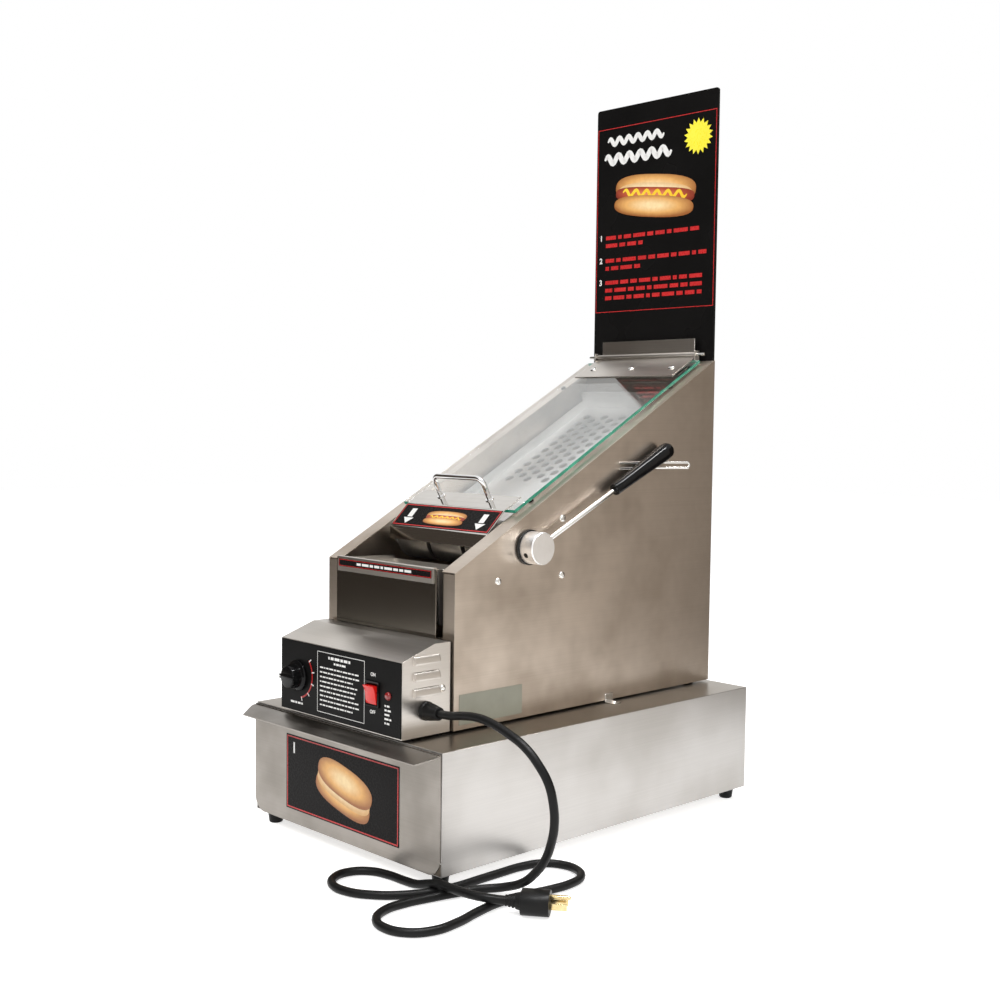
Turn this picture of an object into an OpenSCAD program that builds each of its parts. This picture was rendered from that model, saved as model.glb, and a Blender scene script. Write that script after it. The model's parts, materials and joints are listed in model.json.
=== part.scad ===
// Counter-top hot dog steamer with a bun drawer, a sloped glass lid and a lever-turned dispensing drum.
// Millimetres, +Z up, front towards -Y. The base stands on four rubber feet at z = 0.

/* [Base cabinet] */
// Width of the base across its sides
base_w = 330; // [300:1:380]
// Depth of the base from its front edge to its back
base_d = 517; // [490:1:560]
// Height of the base's sheet body
base_h = 128; // [115:1:160]
// Height of the rubber feet
foot_h = 15; // [10:1:25]
// Radius of a rubber foot where it meets the base
foot_r = 10; // [7:0.5:14]
// Thickness of the stainless sheet
sheet_t = 1.2; // [0.8:0.1:1.5]

/* [Bun drawer] */
// Thickness of the drawer's front sheet
front_t = 1.5; // [1:0.1:2]
// How far the pull lip reaches forward of the drawer's front
lip_run = 25; // [15:1:35]
// How far the pull lip droops over that reach
lip_drop = 8; // [4:0.5:12]
// Radius of the drawer front's lower corners
front_corner_r = 18; // [5:1:30]
// Length of the drawer's pan
pan_d = 470; // [430:1:480]
// Height of the drawer's pan
pan_h = 88; // [60:1:90]
// Height of a slide rail
rail_h = 36; // [28:1:44]
// Width of a slide rail, from the base's side to the pan
rail_w = 13.5; // [12:0.5:18]

/* [Upper cabinet] */
// Width of the cabinet across its side panels
cab_w = 221; // [214:1:250]
// Distance from the base's front edge back to the cabinet's front
cab_setback = 64; // [60:1:70]
// Depth of the cabinet
cab_d = 444.5; // [435:0.5:448]
// Height of the side panels at the front
cab_front_h = 169; // [160:1:190]
// Height of the side panels at the back
cab_rear_h = 412; // [400:1:440]
// Height of the pads between the base and the cabinet
pad_h = 3; // [2:0.5:6]
// Width of the sloped top flanges
top_flange = 22; // [18:1:26]
// Width of the front flanges
front_flange = 18.5; // [14:0.5:20]
// Width of the back and bottom flanges
back_flange = 15; // [10:1:20]

/* [Lid] */
// Thickness of the lid's glass
glass_t = 4; // [3:0.5:6]
// Width of the glass
glass_w = 192; // [186:1:198]
// Height of the rubber bumpers under the glass
bumper_h = 2.5; // [1.5:0.5:4]
// Width of the nose plate and of the clamp plate
plate_w = 168; // [160:1:170]
// Width of the label face on the nose plate
nose_face = 39; // [30:1:45]
// Height of the nose plate's upright front edge
nose_edge = 14; // [8:1:20]
// Diameter of the handle's wire
handle_wire = 6; // [4:0.5:8]
// Distance between the handle's feet
handle_w = 84; // [60:1:100]
// Height of the handle above the nose plate
handle_h = 31; // [24:1:45]
// Diameter of the hinge pin
hinge_pin_d = 4; // [3:0.5:5]

/* [Lever and drum] */
// Distance of the drum's shaft behind the cabinet's front
shaft_back = 110.5; // [106:0.5:114]
// Height of the drum's shaft above the cabinet's bottom
shaft_up = 191; // [187:1:194]
// Diameter of the drum's shaft
shaft_d = 12; // [10:1:14]
// Diameter of the dispensing drum
drum_d = 54; // [50:1:56]
// Length of the dispensing drum
drum_l = 172; // [150:1:178]
// Radius of the drum's hot dog pocket
pocket_r = 13.5; // [12:0.5:14]
// Diameter of the lever's hub
hub_d = 36.6; // [30:0.2:42]
// Length of the lever's hub
hub_l = 20; // [16:1:26]
// Diameter of the lever's rod
rod_d = 6; // [5:0.5:8]
// Distance from the shaft to the grip's outer end
lever_reach = 254; // [230:1:280]
// Length of the grip
grip_l = 112; // [90:1:125]
// Diameter of the grip at its outer end
grip_d = 20.5; // [18:0.5:24]
// Angle of the resting lever above the horizontal
lever_rest_angle = 25.5; // [22:0.5:28]

/* [Bun tray and steam chamber] */
// Inside depth of the bun tray at its floor
bun_floor = 42; // [36:1:48]
// Depth of the bun tray below the front panel's top
bun_deep = 62; // [50:1:66]
// Depth of the hot dog tray below the lid's plane
tray_deep = 50; // [46:1:60]
// Diameter of the tray's perforations
perf_d = 12; // [6:0.5:13]
// Distance between neighbouring perforations, staggered by 60 degrees
perf_pitch = 18.5; // [15:0.5:24]
// Width of the water pan
water_w = 186; // [150:1:200]
// Length of the water pan
water_l = 240; // [200:5:270]
// Depth of the water pan
water_deep = 46; // [36:1:56]

/* [Control box] */
// Width of the control box
box_w = 214.5; // [206:0.5:220]
// Height of the control box at its back
box_h = 96.5; // [90:0.5:98]
// Height of the control box at its front
box_front_h = 81.5; // [78:0.5:86]
// Depth of the control box
box_d = 66.5; // [62:0.5:70]
// Depth of the flat part of its top
box_flat = 22; // [15:1:30]
// Diameter of the thermostat knob
knob_d = 35; // [28:1:40]
// Height of the rocker switch's key
rocker_h = 21; // [18:0.5:24]
// Width of the rocker switch's key
rocker_w = 17; // [14:0.5:20]
// Diameter of the indicator lamp
lamp_d = 9; // [6:0.5:12]

/* [Sign] */
// Width of the sign board
sign_w = 206; // [180:1:220]
// Height of the sign board
sign_h = 381; // [330:1:420]
// Thickness of the sign board
sign_t = 3; // [2:0.5:4]

/* [Power cord] */
// Diameter of the power cord
cord_d = 9; // [8:0.5:9]

/* [Hidden] */
$fn = 48;

// Clearances
gap = 0.3;
fit = 0.05;

// Base and drawer
half_w = base_w / 2;
base_front = -base_d / 2;
base_rear = base_d / 2;
deck_z = foot_h + base_h;
deck_edge = 8;
base_flange = 30;
front_gap = 0.8;
front_y = base_front - front_gap - front_t;
front_half = half_w - 0.4;
front_top = deck_z - 1.5;
pan_half = half_w - sheet_t - rail_w;
pan_t = 1;
pan_z = foot_h + 9;
rail_z = pan_z + pan_h / 2;
rail_front = base_front + 6;
rail_l = pan_d - 20;

// Upper cabinet and the plane of its sloped top
cab_x = cab_w / 2;
cab_front = base_front + cab_setback;
cab_rear = cab_front + cab_d;
cab_z = deck_z + pad_h;
slope = atan((cab_rear_h - cab_front_h) / cab_d);
slope_l = cab_d / cos(slope);
inner_x = cab_x - sheet_t;
panel_rear = cab_rear - sheet_t;
panel_front = panel_rear - sheet_t;
clear_x = cab_x - top_flange - 1.2;

// Lid, in the sloped frame: y runs up the slope, z is the height above the flanges
glass_z = bumper_h + 0.2;
glass_top = glass_z + glass_t;
glass_front = 119;
plate_top = glass_top + sheet_t;
knuckle_in = hinge_pin_d / 2 + fit;
knuckle_r = knuckle_in + sheet_t;
pin_h = glass_top + knuckle_r;
pin_y = panel_front - knuckle_r - 0.5;
pin_along = (pin_y - cab_front + pin_h * sin(slope)) / cos(slope);
pin_z = cab_z + cab_front_h + pin_along * sin(slope) + pin_h * cos(slope);
ear_front = pin_y - 5;
// The glass ends just in front of the ears that carry the pin
glass_rear = (ear_front - 2 * gap - cab_front + glass_z * sin(slope)) / cos(slope);
clamp_l = 55;
clamp_screw_x = plate_w / 2 - 17;
clamp_screw_along = pin_along - 33;
nose_flat = 29;
nose_tilt = 15.5;
handle_along = glass_front + 16;
bumper_x = glass_w / 2 - 4;
ear_x = clear_x - 1;
strip_x = ear_x - 7;
strip_top = pin_z + 21;

// Lever and drum
shaft_y = cab_front + shaft_back;
shaft_z = cab_z + shaft_up;
shaft_r = shaft_d / 2;
bush_r = shaft_r + 3;
washer_t = 2.8;
hub_x = cab_x + gap + washer_t;
rod_x = hub_x + hub_l / 2;
rod_r = rod_d / 2;
grip_start = lever_reach - grip_l;
drum_r = drum_d / 2;
drum_core = shaft_r + 4;
pocket_out = pocket_r + shaft_r + 1;
groove_x = drum_l / 6 + 1;
groove_w = 7;
shaft_along = shaft_back * cos(slope) + (shaft_up - cab_front_h) * sin(slope);
shaft_h = -shaft_back * sin(slope) + (shaft_up - cab_front_h) * cos(slope);

// Lever rest: a wire loop that the grip lies on
wire_r = 1.5;
rest_lead = 56;
rest_bend = 8;
rest_l = 48;
rest_step = 6.5;
rest_turn = 25;
rest_x = cab_x + wire_r + 0.1;
// Where the wire's line crosses under the lever's line, just past the grip's end
rest_s = lever_reach + 2;
rest_y = shaft_y + rest_s * cos(lever_rest_angle) - (rod_x - rest_x) / tan(rest_turn);
rest_skew = tan(lever_rest_angle) / tan(rest_turn);
rest_z = shaft_z + rest_s * sin(lever_rest_angle)
    - (grip_d / 2 + wire_r + gap) * sqrt(pow(rest_skew, 2) + 1 / pow(cos(lever_rest_angle), 2));

// Bun tray and front panel
lip_h = 17;
face_step = 6.4;
face_y = cab_front - face_step;
face_half = clear_x - 0.3;
face_top = cab_z + cab_front_h + 3;
face_z = cab_z + box_h + gap;
bun_half = face_half - 3;
bun_top = face_top + sheet_t;
bun_z = bun_top - bun_deep;
bun_front = face_y + 10;

// Hot dog tray and water pan
tray_half = inner_x - 5;
tray_front = shaft_along + sqrt(pow(drum_r + 1, 2) - pow(tray_deep + shaft_h, 2)) + 0.6;
tray_rear = (panel_front - cab_front - tray_deep * sin(slope)) / cos(slope) - 6;
perf_start = 276;
tray_lip = 12;
rail_in = 12;
water_t = 1;
water_z = cab_z + 2 * sheet_t;
water_y = cab_front + 105;
heater_r = 4;
heater_z = water_z + 22;

// Control box
box_x = box_w / 2;
box_rear = cab_front - 2.6;
box_front = box_rear - box_d;
box_z = deck_z + pad_h;
box_t = 1.2;
plate_t = 0.8;
face_out = box_front - plate_t;
knob_x = -74;
knob_z = box_z + 42;
rocker_x = 60;
rocker_z = box_z + 42;
lamp_x = 86;
lamp_z = box_z + 43.5;
bush_y = box_rear - 34;
bush_z = box_z + 27;
louvre_z = [43, 60, 77];
louvre_l = 35;
louvre_h = 9;
louvre_out = 4;

// Sign
sign_y = cab_rear + 6;
sign_top = 905 - 143 + deck_z;
sign_z = sign_top - sign_h;
holder_t = 1.2;
holder_rear = sign_y + sign_t + 0.2 + holder_t;

// The origin lies under the middle of the whole object, so all is moved by this much along Y
front_reach = -front_y + lip_run;
mid_y = (front_reach - holder_rear) / 2;

// Power cord: hand-placed points from the bushing to the plug
cord_r = cord_d / 2;
bush_l = 22;
cord_route = [[129, -231, 173], [146, -231, 174], [164, -231, 177], [185, -231, 179], [206, -231, 177],
    [231, -230, 170], [252, -228, 160], [268, -226, 146], [279, -223, 129], [283, -220, 109],
    [281, -216, 88], [273, -212, 66], [261, -208, 46], [246, -206, 29], [229, -207, 15], [210, -213, 7],
    [195, -228, 4.6], [186, -252, 4.6], [178, -282, 4.6], [172, -312, 4.6], [173, -338, 4.6],
    [187, -360, 4.6], [209, -367, 4.6], [231, -359, 4.6], [244, -338, 4.6], [244, -308, 4.6],
    [237, -276, 4.6], [232, -242, 4.6], [235, -208, 4.6], [241, -178, 4.6], [243, -150, 4.6],
    [236, -127, 4.6], [218, -114, 4.6], [197, -114, 4.6], [179, -127, 4.6], [172, -150, 4.6],
    [171, -180, 4.6], [171, -212, 4.6], [171, -242, 4.6], [166, -272, 4.6], [153, -299, 4.6],
    [133, -321, 4.6], [108, -334, 4.6], [83, -333, 4.6], [66, -318, 4.6], [63, -297, 4.6],
    [76, -279, 4.6], [98, -272, 4.6], [122, -271, 4.7], [142, -271, 6.2], [158, -270, 10.5],
    [173, -269, 14], [190, -269, 14.6], [208, -268, 14.6], [226, -264, 14.4], [240, -255, 13.2]];
plug_start = [248, -249, 12.8];
plug_turn = 36.87;
plug_l = 44;

function unit(v) = v / norm(v);

// A sheet-metal profile: an open line of points given a thickness on its left side
function left_of(a, b) = let (d = unit(b - a)) [-d[1], d[0]];
function offset_at(p, i, t) =
    i == 0 ? p[0] + left_of(p[0], p[1]) * t
    : i == len(p) - 1 ? p[i] + left_of(p[i - 1], p[i]) * t
    : let (m = left_of(p[i - 1], p[i]), n = left_of(p[i], p[i + 1])) p[i] + (m + n) * t / (1 + m * n);
function strip(p, t) = concat(p, [for (i = [len(p) - 1 : -1 : 0]) offset_at(p, i, t)]);

// Rounds the inner corners of an open line with arcs of radius r
function bend_at(a, b, c, r, n) =
    let (u = unit(a - b), v = unit(c - b), half = acos(u * v) / 2, back = r / tan(half),
        mid = b + unit(u + v) * r / sin(half), from = b + u * back - mid,
        turn = (u[0] * v[1] - u[1] * v[0] > 0 ? -1 : 1) * (180 - 2 * half))
    [for (k = [0 : n]) let (g = turn * k / n)
        mid + [from[0] * cos(g) - from[1] * sin(g), from[0] * sin(g) + from[1] * cos(g)]];
function bend_line(p, r, n = 5) = concat([p[0]],
    [for (i = [1 : len(p) - 2]) each bend_at(p[i - 1], p[i], p[i + 1], r, n)], [p[len(p) - 1]]);

// Extrudes a (y, z) outline along X from x0 to x1
module along_x(x0, x1) {
    translate([x0, 0, 0]) rotate([90, 0, 90]) linear_extrude(x1 - x0) children();
}

// Extrudes an (x, z) outline backwards along Y from y0 to y1
module along_y(y0, y1) {
    translate([0, y1, 0]) rotate([90, 0, 0]) linear_extrude(y1 - y0) children();
}

// Places children in the sloped frame of the cabinet's top
module on_slope() {
    translate([0, cab_front, cab_z + cab_front_h]) rotate([slope, 0, 0]) children();
}

// Places children at the drum's shaft, turned so that +Y points along the resting lever
module on_shaft(turn = 0) {
    translate([0, shaft_y, shaft_z]) rotate([turn, 0, 0]) children();
}

// A cylinder along +X from x0 to x1
module rod_x(x0, x1, r) {
    translate([x0, 0, 0]) rotate([0, 90, 0]) cylinder(h = x1 - x0, r = r);
}

// Moves the whole object so that the origin is under its middle
module placed() {
    translate([0, mid_y, 0]) children();
}

// A pan-head screw with its head towards +Z and its seat at z = 0
module pan_screw(head_d, shank_d, shank_l) {
    rotate_extrude() polygon([[0, head_d * 0.3], [head_d * 0.2, head_d * 0.28], [head_d * 0.4, head_d * 0.18],
        [head_d / 2, 0], [shank_d / 2, 0], [shank_d / 2, -shank_l], [0, -shank_l]]);
}

// The head alone of such a screw
module screw_head(d) {
    rotate_extrude() polygon([[0, 0], [d / 2, 0], [d * 0.4, d * 0.18], [d * 0.2, d * 0.28], [0, d * 0.3]]);
}

module base_shell() {
    color("silver") placed() {
        // Deck and its turned-down front edge
        translate([-half_w, base_front, deck_z - sheet_t]) cube([base_w, base_d, sheet_t]);
        translate([-half_w, base_front, deck_z - deck_edge]) cube([base_w, sheet_t, deck_edge]);
        // Sides with bottom flanges
        for (s = [0, 1]) mirror([s, 0, 0]) {
            translate([half_w - sheet_t, base_front, foot_h]) cube([sheet_t, base_d, base_h]);
            translate([half_w - base_flange, base_front, foot_h]) cube([base_flange, base_d, sheet_t]);
        }
        // Back wall with its bottom flange
        translate([-half_w, base_rear - sheet_t, foot_h]) cube([base_w, sheet_t, base_h]);
        translate([-half_w, base_rear - base_flange, foot_h]) cube([base_w, base_flange, sheet_t]);
    }
}

module base_feet() {
    color("black") placed()
        for (x = [-1, 1], y = [-1, 1])
            translate([x * (half_w - 18), y * (base_d / 2 - 15), 0])
                rotate_extrude() polygon([[0, 0], [foot_r - 3, 0], [foot_r - 2, 1], [foot_r, foot_h], [0, foot_h]]);
}

module slide_rail() {
    x = half_w - sheet_t;
    along_y(rail_front, rail_front + rail_l)
        polygon([[x, rail_z - rail_h / 2], [x, rail_z + rail_h / 2], [x - rail_w + 2, rail_z + rail_h / 2],
            [x - rail_w + 2, rail_z + rail_h / 2 - sheet_t], [x - sheet_t, rail_z + rail_h / 2 - sheet_t],
            [x - sheet_t, rail_z - rail_h / 2 + sheet_t], [x - rail_w + 2, rail_z - rail_h / 2 + sheet_t],
            [x - rail_w + 2, rail_z - rail_h / 2]]);
}

module slide_rail_left() {
    color("dimgray") placed() mirror([1, 0, 0]) slide_rail();
}

module slide_rail_right() {
    color("dimgray") placed() slide_rail();
}

// Rubber pads on the deck under the cabinet and the control box
module cabinet_pads() {
    color("black") placed()
        for (x = [-1, 1], y = [box_front + 15, box_rear - 12, cab_front + 25, cab_rear - 25])
            translate([x * (cab_x - 13), y, deck_z]) cylinder(h = pad_h, r = 6);
}

module hold_down_clips() {
    y = cab_front + cab_d * 0.56;
    color("silver") placed() for (s = [0, 1]) mirror([s, 0, 0]) {
        translate([cab_x, y - 7, deck_z]) cube([15, 14, 1.5]);
        translate([cab_x, y - 7, deck_z]) cube([1.5, 14, pad_h + 8]);
        translate([cab_x + 9, y, deck_z + 1.5]) pan_screw(7, 4, 1);
    }
}

module side_outline() {
    polygon([[cab_front, cab_z], [cab_rear, cab_z], [cab_rear, cab_z + cab_rear_h],
        [cab_front, cab_z + cab_front_h]]);
}

module side_panel() {
    difference() {
        union() {
            along_x(inner_x, cab_x) side_outline();
            on_slope() translate([cab_x - top_flange, 0.8, -sheet_t]) cube([top_flange, slope_l - 1.6, sheet_t]);
            translate([cab_x - front_flange, cab_front, cab_z]) cube([front_flange, sheet_t, cab_front_h - 1.5]);
            translate([cab_x - back_flange, panel_rear, cab_z]) cube([back_flange, sheet_t, cab_rear_h - 8]);
            translate([cab_x - back_flange, cab_front, cab_z]) cube([back_flange, cab_d, sheet_t]);
        }
        on_shaft() rod_x(inner_x - 1, cab_x + 1, bush_r + fit);
    }
}

module side_panel_left() {
    color("silver") placed() mirror([1, 0, 0]) side_panel();
}

module side_panel_right() {
    color("silver") placed() side_panel();
}

module rear_panel() {
    top_z = cab_z + cab_rear_h - 4;
    color("silver") placed() {
        translate([-inner_x + 0.2, panel_front, cab_z + sheet_t])
            cube([2 * inner_x - 0.4, sheet_t, cab_rear_h - sheet_t - 12]);
        translate([-ear_x, panel_front, top_z - 20]) cube([2 * ear_x, sheet_t, 24]);
        translate([-strip_x, panel_front, top_z]) cube([2 * strip_x, sheet_t, strip_top - top_z]);
        // Ears that carry the hinge pin
        for (s = [0, 1]) mirror([s, 0, 0]) difference() {
            translate([ear_x - sheet_t, ear_front, top_z - 2]) cube([sheet_t, panel_rear - ear_front, 19]);
            translate([0, pin_y, pin_z]) rod_x(ear_x - 3, ear_x + 1, hinge_pin_d / 2 + 0.02);
        }
    }
}

module cabinet_floor() {
    color("gainsboro") placed()
        translate([-inner_x + 0.2, cab_front + 2 * sheet_t + 0.2, cab_z + sheet_t])
            cube([2 * inner_x - 0.4, cab_d - 4 * sheet_t - 0.4, sheet_t]);
}

module front_panel() {
    color("gray") placed() {
        // Lower sheet behind the front flanges
        translate([-inner_x + 0.2, cab_front + sheet_t, cab_z + sheet_t])
            cube([2 * inner_x - 0.4, sheet_t, face_z - cab_z]);
        // Upper face that stands forward of the flanges
        along_x(-face_half, face_half) polygon(strip(bend_line([[cab_front + sheet_t, face_z],
            [face_y, face_z], [face_y, face_top], [face_y + 3, face_top]], 1.3), -sheet_t));
    }
}

// The bun tray's floor line in (y, z): lip, front wall, floor and back slope
function bun_line() = [[face_y - sheet_t - 0.2, bun_top - lip_h], [face_y - sheet_t - 0.2, bun_top],
    [face_y + 5, bun_top], [bun_front, bun_z], [bun_front + bun_floor, bun_z],
    [shaft_y - drum_r - 6, shaft_z - 26]];

module bun_tray() {
    line = bun_line();
    color("silver") placed() {
        along_x(-bun_half, bun_half) polygon(strip(bend_line(line, 2), -sheet_t));
        for (s = [0, 1]) mirror([s, 0, 0])
            along_x(bun_half - 1, bun_half) polygon([line[2] + [1, -2], line[3], line[4], line[5],
                line[5] + [0, 4]]);
    }
}

module hot_dog_tray() {
    row_step = perf_pitch / 2;
    col_step = perf_pitch * sqrt(3);
    rows = floor((tray_rear - perf_start - 16) / row_step);
    cols = floor((2 * tray_half - 16) / col_step);
    color("silver") placed() on_slope() {
        translate([0, 0, -tray_deep - sheet_t]) linear_extrude(sheet_t) difference() {
            translate([-tray_half, tray_front]) square([2 * tray_half, tray_rear - tray_front]);
            for (j = [0 : rows - 1], i = [0 : cols - 1 - j % 2])
                translate([(i - (cols - 1 - j % 2) / 2) * col_step, perf_start + j * row_step])
                    circle(d = perf_d, $fn = 24);
        }
        // Upturned sides and the stop at the back
        for (s = [0, 1]) mirror([s, 0, 0])
            translate([tray_half - sheet_t, tray_front + 12, -tray_deep - sheet_t])
                cube([sheet_t, tray_rear - tray_front - 12, tray_lip + sheet_t]);
        translate([-tray_half, tray_rear - sheet_t, -tray_deep - sheet_t])
            cube([2 * tray_half, sheet_t, tray_lip + 14]);
    }
}

module tray_rails() {
    color("silver") placed() on_slope() for (s = [0, 1]) mirror([s, 0, 0]) {
        translate([inner_x - rail_in, tray_front + 14, -tray_deep - 2 * sheet_t])
            cube([rail_in, tray_rear - tray_front - 20, sheet_t]);
        translate([inner_x - sheet_t, tray_front + 14, -tray_deep - 2 * sheet_t - 10])
            cube([sheet_t, tray_rear - tray_front - 20, 10]);
    }
}

module water_pan() {
    w = water_w / 2;
    color("gainsboro") placed() difference() {
        union() {
            translate([-w, water_y, water_z]) cube([water_w, water_l, water_deep]);
            translate([-w - 6, water_y - 6, water_z + water_deep - water_t])
                cube([water_w + 12, water_l + 12, water_t]);
        }
        translate([-w + water_t, water_y + water_t, water_z + water_t])
            cube([water_w - 2 * water_t, water_l - 2 * water_t, water_deep]);
        for (x = [-30, 30]) translate([x, water_y - 1, heater_z]) rotate([-90, 0, 0])
            cylinder(h = 4, r = heater_r + fit);
    }
}

// The immersion heater: two legs through the pan's front wall, joined by a half turn
module heating_element() {
    leg = water_l - 70;
    color("darkslategray") placed() {
        for (x = [-30, 30]) translate([x, water_y - 22, heater_z]) rotate([-90, 0, 0]) {
            cylinder(h = leg + 22, r = heater_r);
            translate([0, 0, 15]) cylinder(h = 6.8, r = heater_r + 4, $fn = 6);
            translate([0, 0, -9]) cylinder(h = 9, r = 1.5);
        }
        translate([0, water_y + leg, heater_z]) rotate_extrude(angle = 180)
            translate([30, 0]) circle(r = heater_r, $fn = 24);
    }
}

module shaft_bushings() {
    color("white") placed() on_shaft() for (s = [0, 1]) mirror([s, 0, 0]) difference() {
        union() {
            rod_x(inner_x - 2, cab_x, bush_r);
            rod_x(inner_x - 2, inner_x, bush_r + 4);
        }
        rod_x(inner_x - 3, cab_x + 1, shaft_r + fit);
    }
}

module lid_bumpers() {
    color("black") placed() on_slope()
        for (x = [-1, 1], y = [glass_front + 31, pin_along - 74])
            translate([x * bumper_x, y, 0]) rotate_extrude()
                polygon([[0, 0], [3.4, 0], [2.8, bumper_h], [0, bumper_h]]);
}

// Screws through the side panels that hold the drum's bearing plates
module panel_screws() {
    spots = [[shaft_back + 54, shaft_up + 30], [shaft_back + 54, shaft_up - 35], [shaft_back - 47, shaft_up - 35]];
    color("gainsboro") placed() for (s = [0, 1]) mirror([s, 0, 0])
        for (p = spots) translate([cab_x, cab_front + p[0], cab_z + p[1]]) rotate([0, 90, 0])
            screw_head(8.5);
}

// Two wire legs welded along the side panel, which turn outwards and meet in a round end
module lever_rest() {
    back = rest_bend * tan(rest_turn / 2);
    color("silver") placed() translate([rest_x, rest_y - back, rest_z]) {
        for (z = [0, -rest_step]) translate([0, 0, z]) {
            rotate([90, 0, 0]) cylinder(h = rest_lead, r = wire_r);
            translate([rest_bend, 0, 0]) rotate([0, 0, 180 - rest_turn]) rotate_extrude(angle = rest_turn)
                translate([rest_bend, 0]) circle(r = wire_r, $fn = 24);
            rest_leg() rod_x(0, rest_l, wire_r);
        }
        translate([0, 0, -rest_step / 2]) rest_leg() translate([rest_l, 0, 0])
            rotate([90, 0, 0]) rotate([0, 0, -90]) rotate_extrude(angle = 180)
                translate([rest_step / 2, 0]) circle(r = wire_r, $fn = 24);
    }
}

// Places children at the end of the wire's bend, with +X along the outward leg
module rest_leg() {
    translate([rest_bend * (1 - cos(rest_turn)), rest_bend * sin(rest_turn), 0])
        rotate([0, 0, 90 - rest_turn]) children();
}

module hinge_pin() {
    color("silver") placed() translate([0, pin_y, pin_z]) rod_x(-ear_x - 12, ear_x + 12, hinge_pin_d / 2);
}

module sign_holder() {
    h = sign_z;
    color("silver") placed() for (x = [-sign_w / 2 + 18, sign_w / 2 - 48]) translate([x, 0, 0]) {
        translate([0, panel_rear, h - 26]) cube([30, holder_t, 26]);
        translate([0, panel_rear, h - holder_t]) cube([30, holder_rear - panel_rear, holder_t]);
        translate([0, sign_y - 0.2 - holder_t, h - holder_t]) cube([30, holder_t, 22]);
        translate([0, holder_rear - holder_t, h - holder_t]) cube([30, holder_t, 32]);
        translate([15, panel_rear + holder_t, h - 14]) rotate([-90, 0, 0]) pan_screw(8, 4, 0.4);
    }
}

module sign_board() {
    c = 4;
    w = sign_w / 2;
    color("black") placed() along_y(sign_y, sign_y + sign_t) {
        translate([-w, sign_z]) square([sign_w, sign_h - c]);
        translate([-w + c, sign_z]) square([sign_w - 2 * c, sign_h]);
        for (x = [-1, 1]) translate([x * (w - c), sign_top - c]) circle(r = c);
    }
}

// Side outline of the control box in (y, z)
module box_outline(t) {
    polygon([[box_front + t, box_z + t], [box_rear, box_z + t], [box_rear, box_z + box_h - t],
        [box_rear - box_flat + t * 0.2, box_z + box_h - t], [box_front + t, box_z + box_front_h - t]]);
}

// One louvre: a pressed hood that is open along its lower edge
module louvre() {
    difference() {
        rotate([-90, 0, 0]) linear_extrude(louvre_l) scale([louvre_out / louvre_h, 1]) difference() {
            circle(r = louvre_h);
            translate([-2 * louvre_h, -louvre_h]) square([2 * louvre_h, 2 * louvre_h]);
            square([louvre_h, louvre_h]);
        }
        translate([0, 1, 0]) rotate([-90, 0, 0]) linear_extrude(louvre_l - 2)
            scale([(louvre_out - 1) / (louvre_h - 1), 1]) circle(r = louvre_h - 1);
    }
}

module control_housing() {
    color("silver") placed() difference() {
        union() {
            difference() {
                along_x(-box_x, box_x) box_outline(0);
                along_x(-box_x + box_t, box_x - box_t) box_outline(box_t);
                translate([-box_x + 8, box_rear - 2, box_z + 8]) cube([box_w - 16, 4, box_h - 16]);
            }
            for (s = [0, 1], z = louvre_z) mirror([s, 0, 0])
                translate([box_x, box_front + 15, box_z + z]) louvre();
        }
        // Slots behind the louvres, and the holes for the controls and the cord
        for (s = [0, 1], z = louvre_z) mirror([s, 0, 0])
            translate([box_x - 3, box_front + 16, box_z + z + 0.5]) cube([3, louvre_l - 2, louvre_h - 3]);
        translate([knob_x, box_front - 1, knob_z]) rotate([-90, 0, 0]) cylinder(h = 4, r = 5);
        translate([rocker_x - rocker_w / 2 - 1, box_front - 1, rocker_z - rocker_h / 2 - 1])
            cube([rocker_w + 2, 4, rocker_h + 2]);
        translate([lamp_x, box_front - 1, lamp_z]) rotate([-90, 0, 0]) cylinder(h = 4, r = lamp_d / 2 - 1);
        translate([0, bush_y, bush_z]) rod_x(box_x - 3, box_x + 1, 8 + fit);
    }
}

module face_plate() {
    color("black") placed() difference() {
        translate([-box_x + 0.8, face_out, box_z + 1.2]) cube([box_w - 1.6, plate_t, box_front_h - 2]);
        translate([knob_x, face_out - 1, knob_z]) rotate([-90, 0, 0]) cylinder(h = 4, r = 5);
        translate([rocker_x - rocker_w / 2 - 1, face_out - 1, rocker_z - rocker_h / 2 - 1])
            cube([rocker_w + 2, 4, rocker_h + 2]);
        translate([lamp_x, face_out - 1, lamp_z]) rotate([-90, 0, 0]) cylinder(h = 4, r = lamp_d / 2 - 1);
    }
}

// Thermostat behind the face: body, threaded neck and spindle
module thermostat() {
    color("dimgray") placed() translate([knob_x, box_front, knob_z]) {
        translate([-20, box_t, -16]) cube([40, 22, 32]);
        rotate([90, 0, 0]) difference() {
            union() {
                translate([0, 0, -box_t]) cylinder(h = box_t + plate_t + 0.4, r = 4.8);
                cylinder(h = plate_t + 11, r = 3);
            }
            translate([-4, 1.8, plate_t + 3]) cube([8, 4, 10]);
        }
    }
}

module switch_body() {
    w = rocker_w / 2 + 0.6;
    h = rocker_h / 2 + 0.6;
    color("black") placed() translate([rocker_x, face_out, rocker_z]) {
        difference() {
            translate([-w - 2.4, -1.8, -h - 2.6]) cube([2 * w + 4.8, 1.8, 2 * h + 5.2]);
            translate([-w + 0.3, -3, -h + 0.3]) cube([2 * w - 0.6, 6, 2 * h - 0.6]);
        }
        difference() {
            translate([-w - 0.2, 0, -h - 0.2]) cube([2 * w + 0.4, 18, 2 * h + 0.4]);
            translate([-w + 0.3, -1, -h + 0.3]) cube([2 * w - 0.6, 8, 2 * h - 0.6]);
        }
        for (z = [-6, 0, 6]) translate([-2.4, 18, z - 0.4]) cube([4.8, 6, 0.8]);
    }
}

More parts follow.
